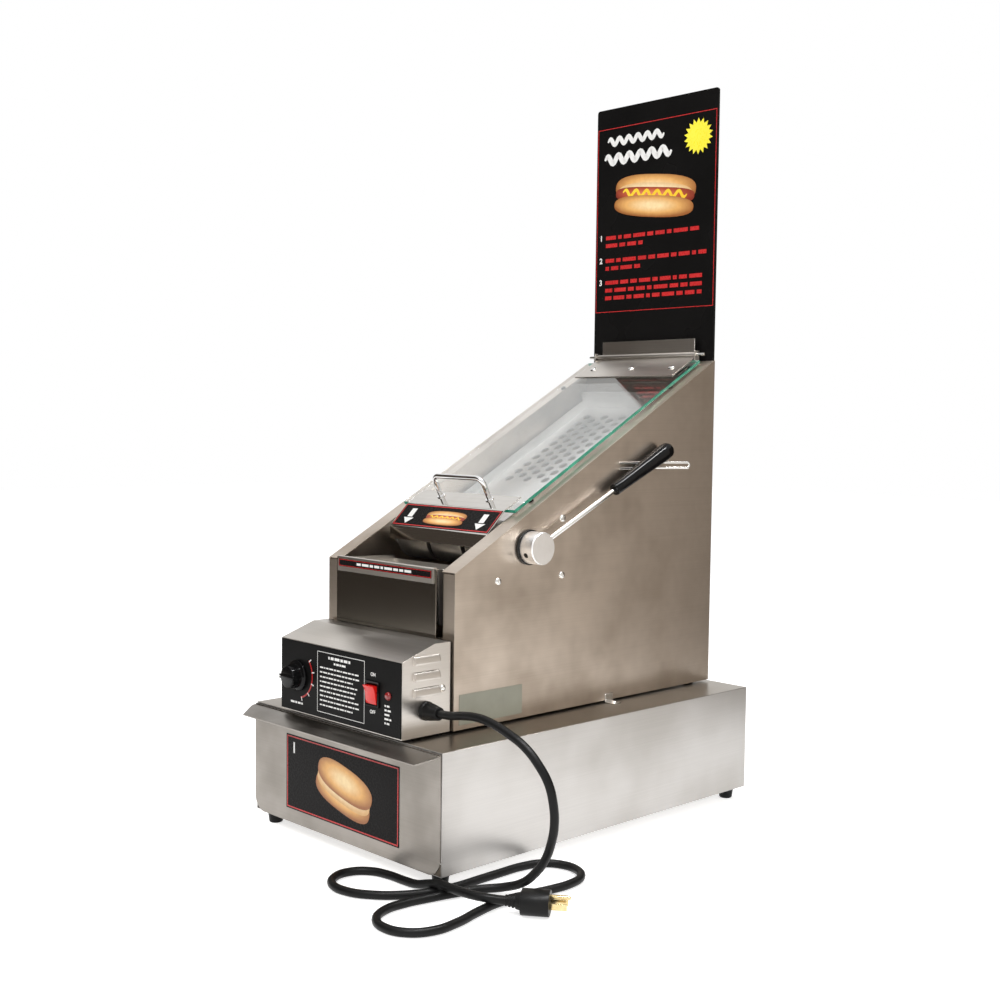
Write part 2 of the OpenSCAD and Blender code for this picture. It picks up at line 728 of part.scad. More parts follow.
module indicator_lamp() {
    color("darkred") placed() translate([lamp_x, face_out, lamp_z]) rotate([90, 0, 0])
        rotate_extrude() polygon([[0, -16], [lamp_d / 2 - 1.2, -16], [lamp_d / 2 - 1.2, 0], [lamp_d / 2, 0],
            [lamp_d / 2, 0.8], [lamp_d / 2 - 1, 2.2], [lamp_d / 4, 3], [0, 3.2]]);
}

module housing_screws() {
    color("gainsboro") placed() for (s = [0, 1]) mirror([s, 0, 0])
        translate([box_x, box_rear - 11, box_z + 48]) rotate([0, 90, 0]) screw_head(8);
}

// Tapered strain relief where the cord leaves the control box
module cord_bushing() {
    r = cord_r + fit;
    color("black") placed() translate([0, bush_y, bush_z]) rotate([0, 90, 0]) rotate_extrude()
        polygon([[r, box_x - 6], [8, box_x - 6], [8, box_x], [10.2, box_x], [10.2, box_x + 3],
            [9.4, box_x + 4], [9.2, box_x + 9], [7.2, box_x + 20], [6.8, box_x + bush_l], [r, box_x + bush_l]]);
}

// The cord's tube has a ring at every point of its route
cord_path = concat([[box_x - 4, bush_y, bush_z], [box_x + bush_l, bush_y, bush_z]],
    [for (i = [1 : len(cord_route) - 1]) cord_route[i]], [plug_start]);

module tube(path, r, n) {
    last = len(path) - 1;
    dirs = [for (i = [0 : last])
        i == 0 ? unit(path[1] - path[0])
        : i == last ? [cos(plug_turn), sin(plug_turn), 0]
        : unit(unit(path[i + 1] - path[i]) + unit(path[i] - path[i - 1]))];
    sides = [for (d = dirs) unit(cross(d, abs(d[2]) > 0.9 ? [0, 1, 0] : [0, 0, 1]))];
    points = [for (i = [0 : last], k = [0 : n - 1])
        let (g = 360 * k / n, u = sides[i], v = cross(sides[i], dirs[i]))
        path[i] + r * (cos(g) * u + sin(g) * v)];
    walls = [for (i = [0 : last - 1], k = [0 : n - 1])
        let (a = i * n + k, b = i * n + (k + 1) % n) each [[a, b, b + n], [a, b + n, a + n]]];
    caps = concat([for (k = [1 : n - 2]) [0, k + 1, k]],
        [for (k = [1 : n - 2]) [last * n, last * n + k, last * n + k + 1]]);
    polyhedron(points = points, faces = concat(walls, caps));
}

module power_cord() {
    color("black") placed() tube(cord_path, cord_r, 10);
}

module on_plug() {
    translate(plug_start) rotate([0, 0, plug_turn]) rotate([0, 90, 0]) rotate([0, 0, 90]) children();
}

// Moulded plug: ribbed tail, waisted body and flat face
module plug_body() {
    color("black") placed() on_plug() {
        rotate_extrude() polygon([[0, 0], [5.6, 0], [5.6, 2], [5, 2], [5, 3.5], [6.3, 3.5], [6.3, 5.5], [5.6, 5.5],
            [5.6, 7], [7, 7], [7, 9], [6.2, 9], [6.2, 10.5], [7.6, 10.5], [8.4, 14], [9, 17], [0, 17]]);
        translate([0, 0, 16]) linear_extrude(plug_l - 16) hull()
            for (x = [-1, 1]) translate([x * 3, 0]) circle(r = 12, $fn = 32);
    }
}

module plug_pins() {
    color("gold") placed() on_plug() {
        for (x = [-6.35, 6.35]) translate([x - 0.75, -1 - 3.2, plug_l]) cube([1.5, 6.4, 17]);
        translate([0, 6.5, plug_l]) rotate_extrude()
            polygon([[0, 0], [2.4, 0], [2.4, 17], [1.6, 20], [0, 20.4]]);
    }
}

module drawer_front() {
    r = front_corner_r;
    h = front_top - foot_h;
    color("silver") placed() {
        along_y(front_y, front_y + front_t) {
            translate([-front_half, foot_h + r]) square([2 * front_half, h - r]);
            translate([-front_half + r, foot_h]) square([2 * front_half - 2 * r, h]);
            for (x = [-1, 1]) translate([x * (front_half - r), foot_h + r]) circle(r = r);
        }
        // Pull lip, with its ends cut back
        intersection() {
            along_x(-front_half, front_half) polygon(strip(bend_line([[front_y + front_t, front_top - 20],
                [front_y + front_t, front_top], [front_y - lip_run, front_top - lip_drop]], 3), front_t));
            translate([0, 0, front_top - 25]) linear_extrude(40) polygon([[-front_half, front_y + 5],
                [front_half, front_y + 5], [front_half, front_y - 6], [front_half - 12, front_y - lip_run - 1],
                [-front_half + 12, front_y - lip_run - 1], [-front_half, front_y - 6]]);
        }
    }
}

module drawer_pan() {
    y = front_y + front_t;
    color("gainsboro") placed() difference() {
        translate([-pan_half, y, pan_z]) cube([2 * pan_half, pan_d, pan_h]);
        translate([-pan_half + pan_t, y + pan_t, pan_z + pan_t])
            cube([2 * pan_half - 2 * pan_t, pan_d - 2 * pan_t, pan_h]);
    }
}

module drawer_runners() {
    h = rail_h / 2 - sheet_t - gap;
    color("silver") placed() for (s = [0, 1]) mirror([s, 0, 0])
        along_y(rail_front + 2, rail_front + rail_l - 20)
            polygon([[pan_half, rail_z - 12], [pan_half, rail_z + 12], [pan_half + 1.6, rail_z + 12],
                [pan_half + 1.6, rail_z + 6], [pan_half + 4, rail_z + 6], [pan_half + 4, rail_z + h],
                [half_w - 2 * sheet_t - gap, rail_z + h], [half_w - 2 * sheet_t - gap, rail_z - h],
                [pan_half + 4, rail_z - h], [pan_half + 4, rail_z - 6], [pan_half + 1.6, rail_z - 6],
                [pan_half + 1.6, rail_z - 12]]);
}

module lid_glass() {
    color("lightcyan", 0.4) placed() on_slope() difference() {
        translate([-glass_w / 2, glass_front, glass_z]) cube([glass_w, glass_rear - glass_front, glass_t]);
        for (x = [-1, 0, 1]) translate([x * clamp_screw_x, clamp_screw_along, glass_z - 1])
            cylinder(h = glass_t + 2, r = 3);
    }
}

module clamp_plate() {
    color("silver") placed() on_slope() difference() {
        union() {
            translate([-plate_w / 2, pin_along - clamp_l, glass_top]) cube([plate_w, clamp_l, sheet_t]);
            translate([0, pin_along, pin_h]) rod_x(-plate_w / 2, plate_w / 2, knuckle_r);
        }
        translate([0, pin_along, pin_h]) rod_x(-plate_w / 2 - 1, plate_w / 2 + 1, knuckle_in);
        for (x = [-1, 0, 1]) translate([x * clamp_screw_x, clamp_screw_along, glass_top - 1])
            cylinder(h = sheet_t + 2, r = 2.1);
    }
}

module clamp_backing() {
    color("silver") placed() on_slope() difference() {
        translate([-plate_w / 2, clamp_screw_along - 12, glass_z - 1.5]) cube([plate_w, 24, 1.5]);
        for (x = [-1, 0, 1]) translate([x * clamp_screw_x, clamp_screw_along, glass_z - 3])
            cylinder(h = 4, r = 2.1);
    }
}

module clamp_screws() {
    color("gainsboro") placed() on_slope() for (x = [-1, 0, 1])
        translate([x * clamp_screw_x, clamp_screw_along, plate_top]) {
            pan_screw(9, 4, plate_top - glass_z + 5);
            translate([0, 0, glass_z - 1.5 - plate_top - 3]) difference() {
                cylinder(h = 3, r = 4, $fn = 6);
                translate([0, 0, -1]) cylinder(h = 5, r = 1.9);
            }
        }
}

// The nose plate's line in the sloped frame: flat on the glass, label face and upright edge
function nose_line() = let (a = [glass_front - 2.5, glass_top],
    b = a + nose_face * [-cos(nose_tilt), -sin(nose_tilt)],
    c = b + nose_edge * [-sin(slope), -cos(slope)]) [[a[0] + nose_flat, glass_top], a, b, c];

module nose_plate() {
    color("silver") placed() on_slope()
        along_x(-plate_w / 2, plate_w / 2) polygon(strip(bend_line(nose_line(), 3), -sheet_t));
}

module lid_handle() {
    r = handle_wire / 2;
    bend = 9;
    w = handle_w / 2;
    top = handle_h - r;
    color("silver") placed() on_slope() translate([0, handle_along, plate_top]) {
        for (s = [0, 1]) mirror([s, 0, 0]) {
            translate([w, 0, 0]) cylinder(h = top - bend, r = r);
            translate([w, 0, 0]) cylinder(h = 1.2, r = r + 2);
            translate([w - bend, 0, top - bend]) rotate([90, 0, 0]) rotate_extrude(angle = 90)
                translate([bend, 0]) circle(r = r, $fn = 24);
        }
        translate([0, 0, top]) rod_x(-w + bend, w - bend, r);
    }
}

module lever_hub() {
    color("silver") placed() on_shaft(lever_rest_angle) difference() {
        rotate([0, 90, 0]) rotate_extrude() polygon([[0, hub_x], [hub_d / 2 - 0.6, hub_x],
            [hub_d / 2, hub_x + 0.6], [hub_d / 2, hub_x + hub_l - 1], [hub_d / 2 - 1, hub_x + hub_l],
            [0, hub_x + hub_l]]);
        rod_x(hub_x - 1, hub_x + hub_l - 5, shaft_r + fit);
        translate([rod_x, shaft_r + 2, 0]) rotate([-90, 0, 0]) cylinder(h = hub_d, r = rod_r + fit);
        translate([rod_x, 0, 0]) rotate([150, 0, 0]) translate([0, 0, shaft_r + 4]) cylinder(h = hub_d, r = 2.5);
    }
}

module hub_washer() {
    color("black") placed() on_shaft() difference() {
        rod_x(cab_x + gap, hub_x, hub_d / 2 + 1.6);
        rod_x(cab_x, hub_x + 1, shaft_r + fit);
    }
}

module lever_rod() {
    color("silver") placed() on_shaft(lever_rest_angle)
        translate([rod_x, shaft_r + 2, 0]) rotate([-90, 0, 0])
            cylinder(h = grip_start + grip_l * 0.6 - shaft_r - 2, r = rod_r);
}

module lever_grip() {
    r = grip_d / 2;
    color("black") placed() on_shaft(lever_rest_angle)
        translate([rod_x, 0, 0]) rotate([-90, 0, 0]) rotate_extrude()
            polygon([[rod_r + fit, grip_start], [r - 3.4, grip_start], [r - 2.9, grip_start + 1.5],
                [r - 2.9, grip_start + 12], [r - 2.2, grip_start + 40], [r - 1, grip_start + 75],
                [r - 0.2, grip_start + 92], [r, lever_reach - 12], [r - 0.6, lever_reach - 5],
                [r - 2.6, lever_reach - 1.4], [r - 6, lever_reach], [0, lever_reach],
                [0, grip_start + grip_l * 0.6 + 0.2], [rod_r + fit, grip_start + grip_l * 0.6 + 0.2]]);
}

module drum_shaft() {
    color("silver") placed() on_shaft() difference() {
        rod_x(-cab_x - 5, hub_x + hub_l - 5.4, shaft_r);
        difference() {
            rod_x(-cab_x - 3, -cab_x - 1.8, shaft_r + 1);
            rod_x(-cab_x - 4, -cab_x - 1, shaft_r - 1);
        }
    }
}

// The pocketed drum: three grooved sections on one core, with a trough that holds one hot dog
module dispenser_drum() {
    bands = [[-drum_l / 2, -groove_x - groove_w / 2], [-groove_x + groove_w / 2, groove_x - groove_w / 2],
        [groove_x + groove_w / 2, drum_l / 2]];
    pocket_turn = asin((pocket_r + 0.5 - tray_deep - shaft_h) / pocket_out) + slope;
    color("gainsboro") placed() on_shaft() difference() {
        union() {
            rod_x(-drum_l / 2, drum_l / 2, drum_core);
            for (b = bands) rod_x(b[0], b[1], drum_r);
        }
        rod_x(-drum_l, drum_l, shaft_r + fit);
        rotate([pocket_turn, 0, 0]) translate([0, pocket_out, 0]) rod_x(-drum_l, drum_l, pocket_r);
    }
}

module shaft_clip() {
    color("dimgray") placed() on_shaft() difference() {
        rod_x(-cab_x - 3 + fit, -cab_x - 1.8 - fit, shaft_r + 3);
        rod_x(-cab_x - 4, -cab_x, shaft_r - 1 + fit);
    }
}

module control_knob() {
    r = knob_d / 2;
    color("black") placed() translate([knob_x, face_out, knob_z]) rotate([90, 0, 0]) difference() {
        union() {
            rotate_extrude() polygon([[0, 0.6], [r, 0.6], [r, 3], [r - 1.5, 4], [r - 4, 4.6], [r - 5, 15],
                [r - 6, 16], [0, 16]]);
            translate([-r + 4.5, -2.5, 4]) cube([2 * r - 9, 5, 13]);
        }
        translate([0, 0, -1]) cylinder(h = 13, r = 3 + fit);
    }
}

module switch_rocker() {
    h = rocker_h / 2;
    color("red") placed() translate([rocker_x, face_out, rocker_z]) {
        rod_x(-rocker_w / 2 - 0.2, rocker_w / 2 + 0.2, 1.5);
        along_x(-rocker_w / 2, rocker_w / 2)
            polygon([[2.5, 1.4 - h], [-2.2, -h], [-3.2, -h * 0.5], [-3.6, 0], [-5, h * 0.5], [-7, h - 1.3], [-6.2, h - 0.9],
                [2.5, h - 1.6]]);
    }
}

base_shell();
base_feet();
slide_rail_left();
slide_rail_right();
cabinet_pads();
hold_down_clips();
side_panel_left();
side_panel_right();
rear_panel();
cabinet_floor();
front_panel();
bun_tray();
hot_dog_tray();
tray_rails();
water_pan();
heating_element();
shaft_bushings();
lid_bumpers();
panel_screws();
lever_rest();
hinge_pin();
sign_holder();
sign_board();
control_housing();
face_plate();
thermostat();
switch_body();
indicator_lamp();
housing_screws();
cord_bushing();
power_cord();
plug_body();
plug_pins();
drawer_front();
drawer_pan();
drawer_runners();
lid_glass();
clamp_plate();
clamp_backing();
clamp_screws();
nose_plate();
lid_handle();
lever_hub();
hub_washer();
lever_rod();
lever_grip();
drum_shaft();
dispenser_drum();
shaft_clip();
control_knob();
switch_rocker();
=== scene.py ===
# %% [markdown]
# # A counter-top hot dog steamer
# The object is a stainless steel cabinet with a sloped glass lid, a lever that turns a dispensing
# drum, a control box and a bun drawer in the base. The solids come from the CAD model in one shared
# frame, in metres. This lesson dresses them: edges, finishes, printed labels, the cord and the light.

# %% Load the frame
import json
import math
import bpy
import bmesh
from mathutils import Matrix, Vector


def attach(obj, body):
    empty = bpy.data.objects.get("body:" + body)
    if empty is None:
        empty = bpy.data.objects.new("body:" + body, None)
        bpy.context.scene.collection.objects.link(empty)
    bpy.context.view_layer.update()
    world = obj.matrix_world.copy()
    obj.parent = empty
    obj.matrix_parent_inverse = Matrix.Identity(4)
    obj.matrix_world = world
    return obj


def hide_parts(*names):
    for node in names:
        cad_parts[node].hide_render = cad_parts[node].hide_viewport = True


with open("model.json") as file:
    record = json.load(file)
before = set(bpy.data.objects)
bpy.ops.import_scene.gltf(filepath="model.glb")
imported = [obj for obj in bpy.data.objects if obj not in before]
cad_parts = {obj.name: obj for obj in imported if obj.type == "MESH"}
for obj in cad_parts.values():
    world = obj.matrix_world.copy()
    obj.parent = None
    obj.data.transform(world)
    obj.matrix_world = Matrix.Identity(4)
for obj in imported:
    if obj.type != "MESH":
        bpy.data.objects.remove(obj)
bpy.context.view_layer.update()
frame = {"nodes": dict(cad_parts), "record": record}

# %% [markdown]
# Sizes on this object are easiest to read in millimetres from the middle of the base, as a maker
# would measure them. The shared frame's origin lies 12.7 mm further forward, so one helper turns
# a measured place into the frame. A second one does the same for places on the sloped top, given
# as distance across, distance up the slope and height above the flanges.

# %% Measured places
base_middle_to_origin = 12.7
slope_degrees = 28.6646
slope = math.radians(slope_degrees)
slope_foot_y, slope_foot_z = -194.5, 315
body_of_node = {}
for body_name, node_names in frame["record"]["behaviour"]["bodies"].items():
    for node_name in node_names:
        body_of_node[node_name] = body_name


def at(x, y, z):
    return Vector((x, y + base_middle_to_origin, z)) / 1000


def on_slope(x, along, height):
    y = slope_foot_y + along * math.cos(slope) - height * math.sin(slope)
    z = slope_foot_z + along * math.sin(slope) + height * math.cos(slope)
    return at(x, y, z)


print("front of the lid's glass", on_slope(0, 119, 4.7))

# %% [markdown]
# The camera stands in front of the right corner, a little above the middle of the machine, looking
# slightly down. Its place and lens were worked out from the straight edges of the object, so the
# model and the picture line up. It is turned by its own right, up and backward directions.

# %% Camera
azimuth, elevation, roll = math.radians(45.946), math.radians(-3.409), math.radians(0.711)
forward = Vector((-math.sin(azimuth) * math.cos(elevation), math.cos(azimuth) * math.cos(elevation),
                  math.sin(elevation)))
level_right = forward.cross(Vector((0, 0, 1))).normalized()
level_up = level_right.cross(forward)
camera_right = math.cos(roll) * level_right + math.sin(roll) * level_up
camera_up = -math.sin(roll) * level_right + math.cos(roll) * level_up
camera_data = bpy.data.cameras.new("camera")
camera_data.lens, camera_data.sensor_width = 48.15, 36
camera_place = (1.1565, -1.1290, 0.4780)
camera = bpy.data.objects.new("camera", camera_data)
turn = Matrix((camera_right, camera_up, -forward)).transposed().to_4x4()
camera.matrix_world = Matrix.Translation(camera_place) @ turn
bpy.context.collection.objects.link(camera)
bpy.context.scene.camera = camera
print("camera looks along", forward)

# %% [markdown]
# A rubber-covered mains lead leaves the control box through a tapered bushing, falls over the edge
# of the base and lies on the floor in two loose loops that cross under a low hump. A curve with a
# round bevel is the natural way: it keeps one thickness however it bends. The points are the same
# ones that the CAD solid follows, but for a few tenths of a millimetre in height where the lead
# settles on the floor, because the smooth line would dip there. Automatic handles join them.

# %% Mains lead
lead_points = [
    (127, -231.1, 173), (146, -231, 174), (164, -231, 177), (185, -231, 179), (206, -231, 177),
    (231, -230, 170), (252, -228, 160), (268, -226, 146), (279, -223, 129), (283, -220, 109),
    (281, -216, 88), (273, -212, 66), (261, -208, 46), (246, -206, 29), (229, -207, 15), (210, -213, 7.3),
    (195, -228, 5.0), (186, -252, 4.9), (178, -282, 4.7), (172, -312, 4.6), (173, -338, 4.6),
    (187, -360, 4.6), (209, -367, 4.6), (231, -359, 4.6), (244, -338, 4.6), (244, -308, 4.6),
    (237, -276, 4.6), (232, -242, 4.6), (235, -208, 4.6), (241, -178, 4.6), (243, -150, 4.6),
    (236, -127, 4.6), (218, -114, 4.6), (197, -114, 4.6), (179, -127, 4.6), (172, -150, 4.6),
    (171, -180, 4.6), (171, -212, 4.6), (171, -242, 4.6), (166, -272, 4.6), (153, -299, 4.6),
    (133, -321, 4.6), (108, -334, 4.6), (83, -333, 4.6), (66, -318, 4.6), (63, -297, 4.6),
    (76, -279, 4.6), (98, -272, 4.6), (122, -271, 4.7), (142, -271, 6.2), (158, -270, 10.5),
    (173, -269, 14), (190, -269, 14.6), (208, -268, 14.6), (226, -264, 14.4), (240, -255, 13.2),
    (248, -249, 12.8)]
lead_curve = bpy.data.curves.new("mains_lead", "CURVE")
lead_curve.dimensions = "3D"
lead_curve.resolution_u = 5
lead_curve.bevel_depth = 0.0045
lead_curve.bevel_resolution = 4
lead_curve.use_fill_caps = True
spline = lead_curve.splines.new("BEZIER")
spline.bezier_points.add(len(lead_points) - 1)
for bezier_point, place in zip(spline.bezier_points, lead_points):
    bezier_point.co = at(*place)
    bezier_point.handle_left_type = bezier_point.handle_right_type = "AUTO"
mains_lead = bpy.data.objects.new("mains_lead", lead_curve)
bpy.context.collection.objects.link(mains_lead)
bpy.context.view_layer.update()
bpy.ops.object.select_all(action="DESELECT")
mains_lead.select_set(True)
bpy.context.view_layer.objects.active = mains_lead
bpy.ops.object.convert(target="MESH")
mains_lead = bpy.context.object
bpy.ops.object.shade_smooth_by_angle(angle=math.radians(50))
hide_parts("power_cord")
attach(mains_lead, "cabinet")

# %% [markdown]
# The setting is plain: a white floor and a white surround, with large soft lamps. The floor and the
# world show as white to the camera and in reflections, and light the object at an ordinary level.

# %% Floor, world and lamps
bpy.context.scene.view_settings.view_transform = "Standard"


def seen_directly(nodes, links):
    path = nodes.new("ShaderNodeLightPath")
    first = nodes.new("ShaderNodeMath")
    first.operation = "MAXIMUM"
    links.new(path.outputs["Is Camera Ray"], first.inputs[0])
    links.new(path.outputs["Is Glossy Ray"], first.inputs[1])
    second = nodes.new("ShaderNodeMath")
    second.operation = "MAXIMUM"
    links.new(first.outputs[0], second.inputs[0])
    links.new(path.outputs["Is Transmission Ray"], second.inputs[1])
    return second.outputs[0]


world = bpy.data.worlds.new("white_room")
bpy.context.scene.world = world
world.use_nodes = True
room = world.node_tree
background = room.nodes["Background"]
background.inputs["Color"].default_value = (1, 1, 1, 1)
strength = room.nodes.new("ShaderNodeMapRange")
strength.inputs["To Min"].default_value = 0.52
strength.inputs["To Max"].default_value = 1.0
room.links.new(seen_directly(room.nodes, room.links), strength.inputs["Value"])
room.links.new(strength.outputs["Result"], background.inputs["Strength"])

bpy.ops.object.select_all(action="DESELECT")
bpy.ops.mesh.primitive_plane_add(size=14, location=(0, 0, 0))
floor = bpy.context.object
floor.name = "floor"
floor_finish = bpy.data.materials.new("floor_white")
floor_finish.use_nodes = True
tree = floor_finish.node_tree
tree.nodes["Principled BSDF"].inputs["Base Color"].default_value = (0.85, 0.85, 0.85, 1)
tree.nodes["Principled BSDF"].inputs["Roughness"].default_value = 0.9
glow = tree.nodes.new("ShaderNodeEmission")
glow_level = tree.nodes.new("ShaderNodeMath")
glow_level.operation = "MULTIPLY"
glow_level.inputs[1].default_value = 0.62
tree.links.new(seen_directly(tree.nodes, tree.links), glow_level.inputs[0])
tree.links.new(glow_level.outputs[0], glow.inputs["Strength"])
both = tree.nodes.new("ShaderNodeAddShader")
tree.links.new(tree.nodes["Principled BSDF"].outputs[0], both.inputs[0])
tree.links.new(glow.outputs[0], both.inputs[1])
tree.links.new(both.outputs[0], tree.nodes["Material Output"].inputs["Surface"])
floor.data.materials.append(floor_finish)


def soft_lamp(name, place, aim, width, height, watts, tint):
    data = bpy.data.lights.new(name, "AREA")
    data.shape, data.size, data.size_y = "RECTANGLE", width, height
    data.energy, data.color = watts, tint
    lamp = bpy.data.objects.new(name, data)
    lamp.location = place
    lamp.rotation_euler = (Vector(aim) - Vector(place)).to_track_quat("-Z", "Y").to_euler()
    bpy.context.collection.objects.link(lamp)
    return lamp


lamps = [
    soft_lamp("key_lamp", (-1.3, -2.2, 2.2), (0, 0, 0.35), 1.6, 1.2, 42, (1, 0.98, 0.95)),
    soft_lamp("side_lamp", (2.4, -1.2, 1.6), (0, 0, 0.3), 1.4, 1.4, 26, (1, 0.97, 0.93)),
    soft_lamp("top_lamp", (0, 0.2, 2.6), (0, 0, 0.2), 2.0, 2.0, 24, (1, 1, 1))]
for lamp in lamps:
    lamp.visible_glossy = False
print("lamps", [lamp.name for lamp in lamps])

# %% [markdown]
# Polished steel looks like steel only when it has something dark to reflect. Two grey paper sweeps
# stand out of view, one behind on the right and one in front on the left. Each is a sheet on the
# floor whose far edge is extruded upwards. They are seen only in reflections, so they make no
# shadow and never show in the picture. The right one fades from light to dark across its width. A
# narrow bright card overhead draws the thin highlights along the glossy grip and knob.

# %% Reflection sweeps
def glowing_in_reflections(sheet, name):
    paper = bpy.data.materials.new(name)
    paper.use_nodes = True
    tree = paper.node_tree
    glow = tree.nodes.new("ShaderNodeEmission")
    tree.links.new(glow.outputs[0], tree.nodes["Material Output"].inputs["Surface"])
    sheet.data.materials.append(paper)
    sheet.visible_camera = sheet.visible_diffuse = sheet.visible_shadow = False
    sheet.visible_transmission = False
    return tree, glow


above_floor = 0.004


def paper_sweep(name, toward, near, far, half_width, height, stops, kind):
    bpy.ops.object.select_all(action="DESELECT")
    bpy.ops.mesh.primitive_plane_add(size=2, location=(0, 0, 0))
    sweep = bpy.context.object
    sweep.name = name
    sweep.scale = (half_width, (far - near) / 2, 1)
    sweep.location = (0, (far + near) / 2, above_floor)
    bpy.ops.object.transform_apply(location=True, rotation=False, scale=True)
    bpy.ops.object.mode_set(mode="EDIT")
    mesh = bmesh.from_edit_mesh(sweep.data)
    for edge in mesh.edges:
        edge.select_set(all(abs(corner.co.y - far) < 1e-4 for corner in edge.verts))
    mesh.select_flush_mode()
    bmesh.update_edit_mesh(sweep.data)
    bpy.ops.mesh.extrude_region_move(TRANSFORM_OT_translate={"value": (0, 0, height)})
    bpy.ops.object.mode_set(mode="OBJECT")
    sweep.rotation_euler = (0, 0, -math.radians(toward))
    bpy.ops.object.transform_apply(location=False, rotation=True, scale=False)
    tree, glow = glowing_in_reflections(sweep, name + "_paper")
    place = tree.nodes.new("ShaderNodeTexCoord")
    fade = tree.nodes.new("ShaderNodeTexGradient")
    fade.gradient_type = kind
    reach = tree.nodes.new("ShaderNodeMapping")
    if kind == "SPHERICAL":
        reach.inputs["Scale"].default_value = (1 / far, 1 / far, 0)
    ramp = tree.nodes.new("ShaderNodeValToRGB")
    while len(ramp.color_ramp.elements) < len(stops):
        ramp.color_ramp.elements.new(0.5)
    for element, (position, color) in zip(ramp.color_ramp.elements, stops):
        element.position, element.color = position, (*color, 1)
    tree.links.new(place.outputs["Object"], reach.inputs["Vector"])
    tree.links.new(reach.outputs["Vector"], fade.inputs["Vector"])
    tree.links.new(fade.outputs["Fac"], ramp.inputs["Fac"])
    tree.links.new(ramp.outputs["Color"], glow.inputs["Color"])
    return sweep


warm_dark, warm_grey, warm_pale = (0.075, 0.062, 0.052), (0.42, 0.345, 0.28), (0.92, 0.87, 0.81)
right_sweep = paper_sweep("right_sweep", 40, 0.85, 2.5, 3.2, 2.2,
                          [(0.600, warm_pale), (0.622, (0.75, 0.66, 0.57)), (0.632, warm_grey),
                           (0.642, (0.15, 0.12, 0.095)), (0.656, (0.045, 0.037, 0.03))], "RADIAL")
left_sweep = paper_sweep("left_sweep", 232, 1.15, 2.3, 2.6, 2.6,
                         [(0.0, warm_dark), (0.22, (0.10, 0.085, 0.07)), (0.5, warm_pale)], "SPHERICAL")

bpy.ops.object.select_all(action="DESELECT")
bpy.ops.mesh.primitive_plane_add(size=1, location=(0.75, -0.25, 2.3), rotation=(0, 0.3, 0))
strip_card = bpy.context.object
strip_card.name = "strip_card"
strip_card.scale = (0.16, 2.4, 1)
bpy.ops.object.transform_apply(location=False, rotation=False, scale=True)
tree, glow = glowing_in_reflections(strip_card, "strip_card_glow")
glow.inputs["Strength"].default_value = 60
print("sweeps", right_sweep.name, left_sweep.name, "card", strip_card.name)

# %% [markdown]
# Brushed sheet, cast metal and moulded plastic all need uneven fine marks. Two node groups give
# them: one draws long fine scratches along a chosen direction, the other soft cloudy patches, such
# as wiped smears and heat bloom. Each gives only values, and every finish uses them in its own way.

# %% Surface groups
def new_group(name, inputs, outputs):
    group = bpy.data.node_groups.new(name, "ShaderNodeTree")
    for label, kind, value in inputs:
        socket = group.interface.new_socket(label, in_out="INPUT", socket_type=kind)
        socket.default_value = value
    for label, kind in outputs:
        group.interface.new_socket(label, in_out="OUTPUT", socket_type=kind)
    return group, group.nodes.new("NodeGroupInput"), group.nodes.new("NodeGroupOutput")


brush_group, group_in, group_out = new_group(
    "brush_marks", [("Stretch", "NodeSocketVector", (4, 4, 900)), ("Detail", "NodeSocketFloat", 3.0)],
    [("Marks", "NodeSocketFloat")])
place = brush_group.nodes.new("ShaderNodeTexCoord")
stretch = brush_group.nodes.new("ShaderNodeVectorMath")
stretch.operation = "MULTIPLY"
fine = brush_group.nodes.new("ShaderNodeTexNoise")
fine.inputs["Scale"].default_value = 1.0
brush_group.links.new(place.outputs["Object"], stretch.inputs[0])
brush_group.links.new(group_in.outputs["Stretch"], stretch.inputs[1])
brush_group.links.new(stretch.outputs[0], fine.inputs["Vector"])
brush_group.links.new(group_in.outputs["Detail"], fine.inputs["Detail"])
brush_group.links.new(fine.outputs["Fac"], group_out.inputs["Marks"])

cloud_group, group_in, group_out = new_group(
    "soft_patches", [("Size", "NodeSocketFloat", 6.0)],
    [("Patches", "NodeSocketFloat"), ("Specks", "NodeSocketFloat")])
place = cloud_group.nodes.new("ShaderNodeTexCoord")
patches = cloud_group.nodes.new("ShaderNodeTexNoise")
patches.inputs["Detail"].default_value = 3.0
patches.inputs["Roughness"].default_value = 0.55
specks = cloud_group.nodes.new("ShaderNodeTexNoise")
specks.inputs["Scale"].default_value = 420.0
specks.inputs["Detail"].default_value = 2.0
for noise in (patches, specks):
    cloud_group.links.new(place.outputs["Object"], noise.inputs["Vector"])
cloud_group.links.new(group_in.outputs["Size"], patches.inputs["Scale"])
cloud_group.links.new(patches.outputs["Fac"], group_out.inputs["Patches"])
cloud_group.links.new(specks.outputs["Fac"], group_out.inputs["Specks"])
print("groups", brush_group.name, cloud_group.name)

# %% [markdown]
# Small helpers keep the finishes short. They start a finish, add a group, turn a value into a colour
# between two colours, into a number in a range or into a shallow bump, and multiply two colours.
# Constants go straight on the shader's own sockets.

# %% Finish helpers
def new_finish(name, color, roughness, metallic=0.0, **sockets):
    finish = bpy.data.materials.new(name)
    finish.use_nodes = True
    shader = finish.node_tree.nodes["Principled BSDF"]
    shader.inputs["Base Color"].default_value = (*color, 1)
    shader.inputs["Roughness"].default_value = roughness
    shader.inputs["Metallic"].default_value = metallic
    for label, value in sockets.items():
        shader.inputs[label.replace("_", " ")].default_value = value
    return finish, finish.node_tree, shader


def add_group(tree, group, **values):
    node = tree.nodes.new("ShaderNodeGroup")
    node.node_tree = group
    for label, value in values.items():
        node.inputs[label].default_value = value
    return node


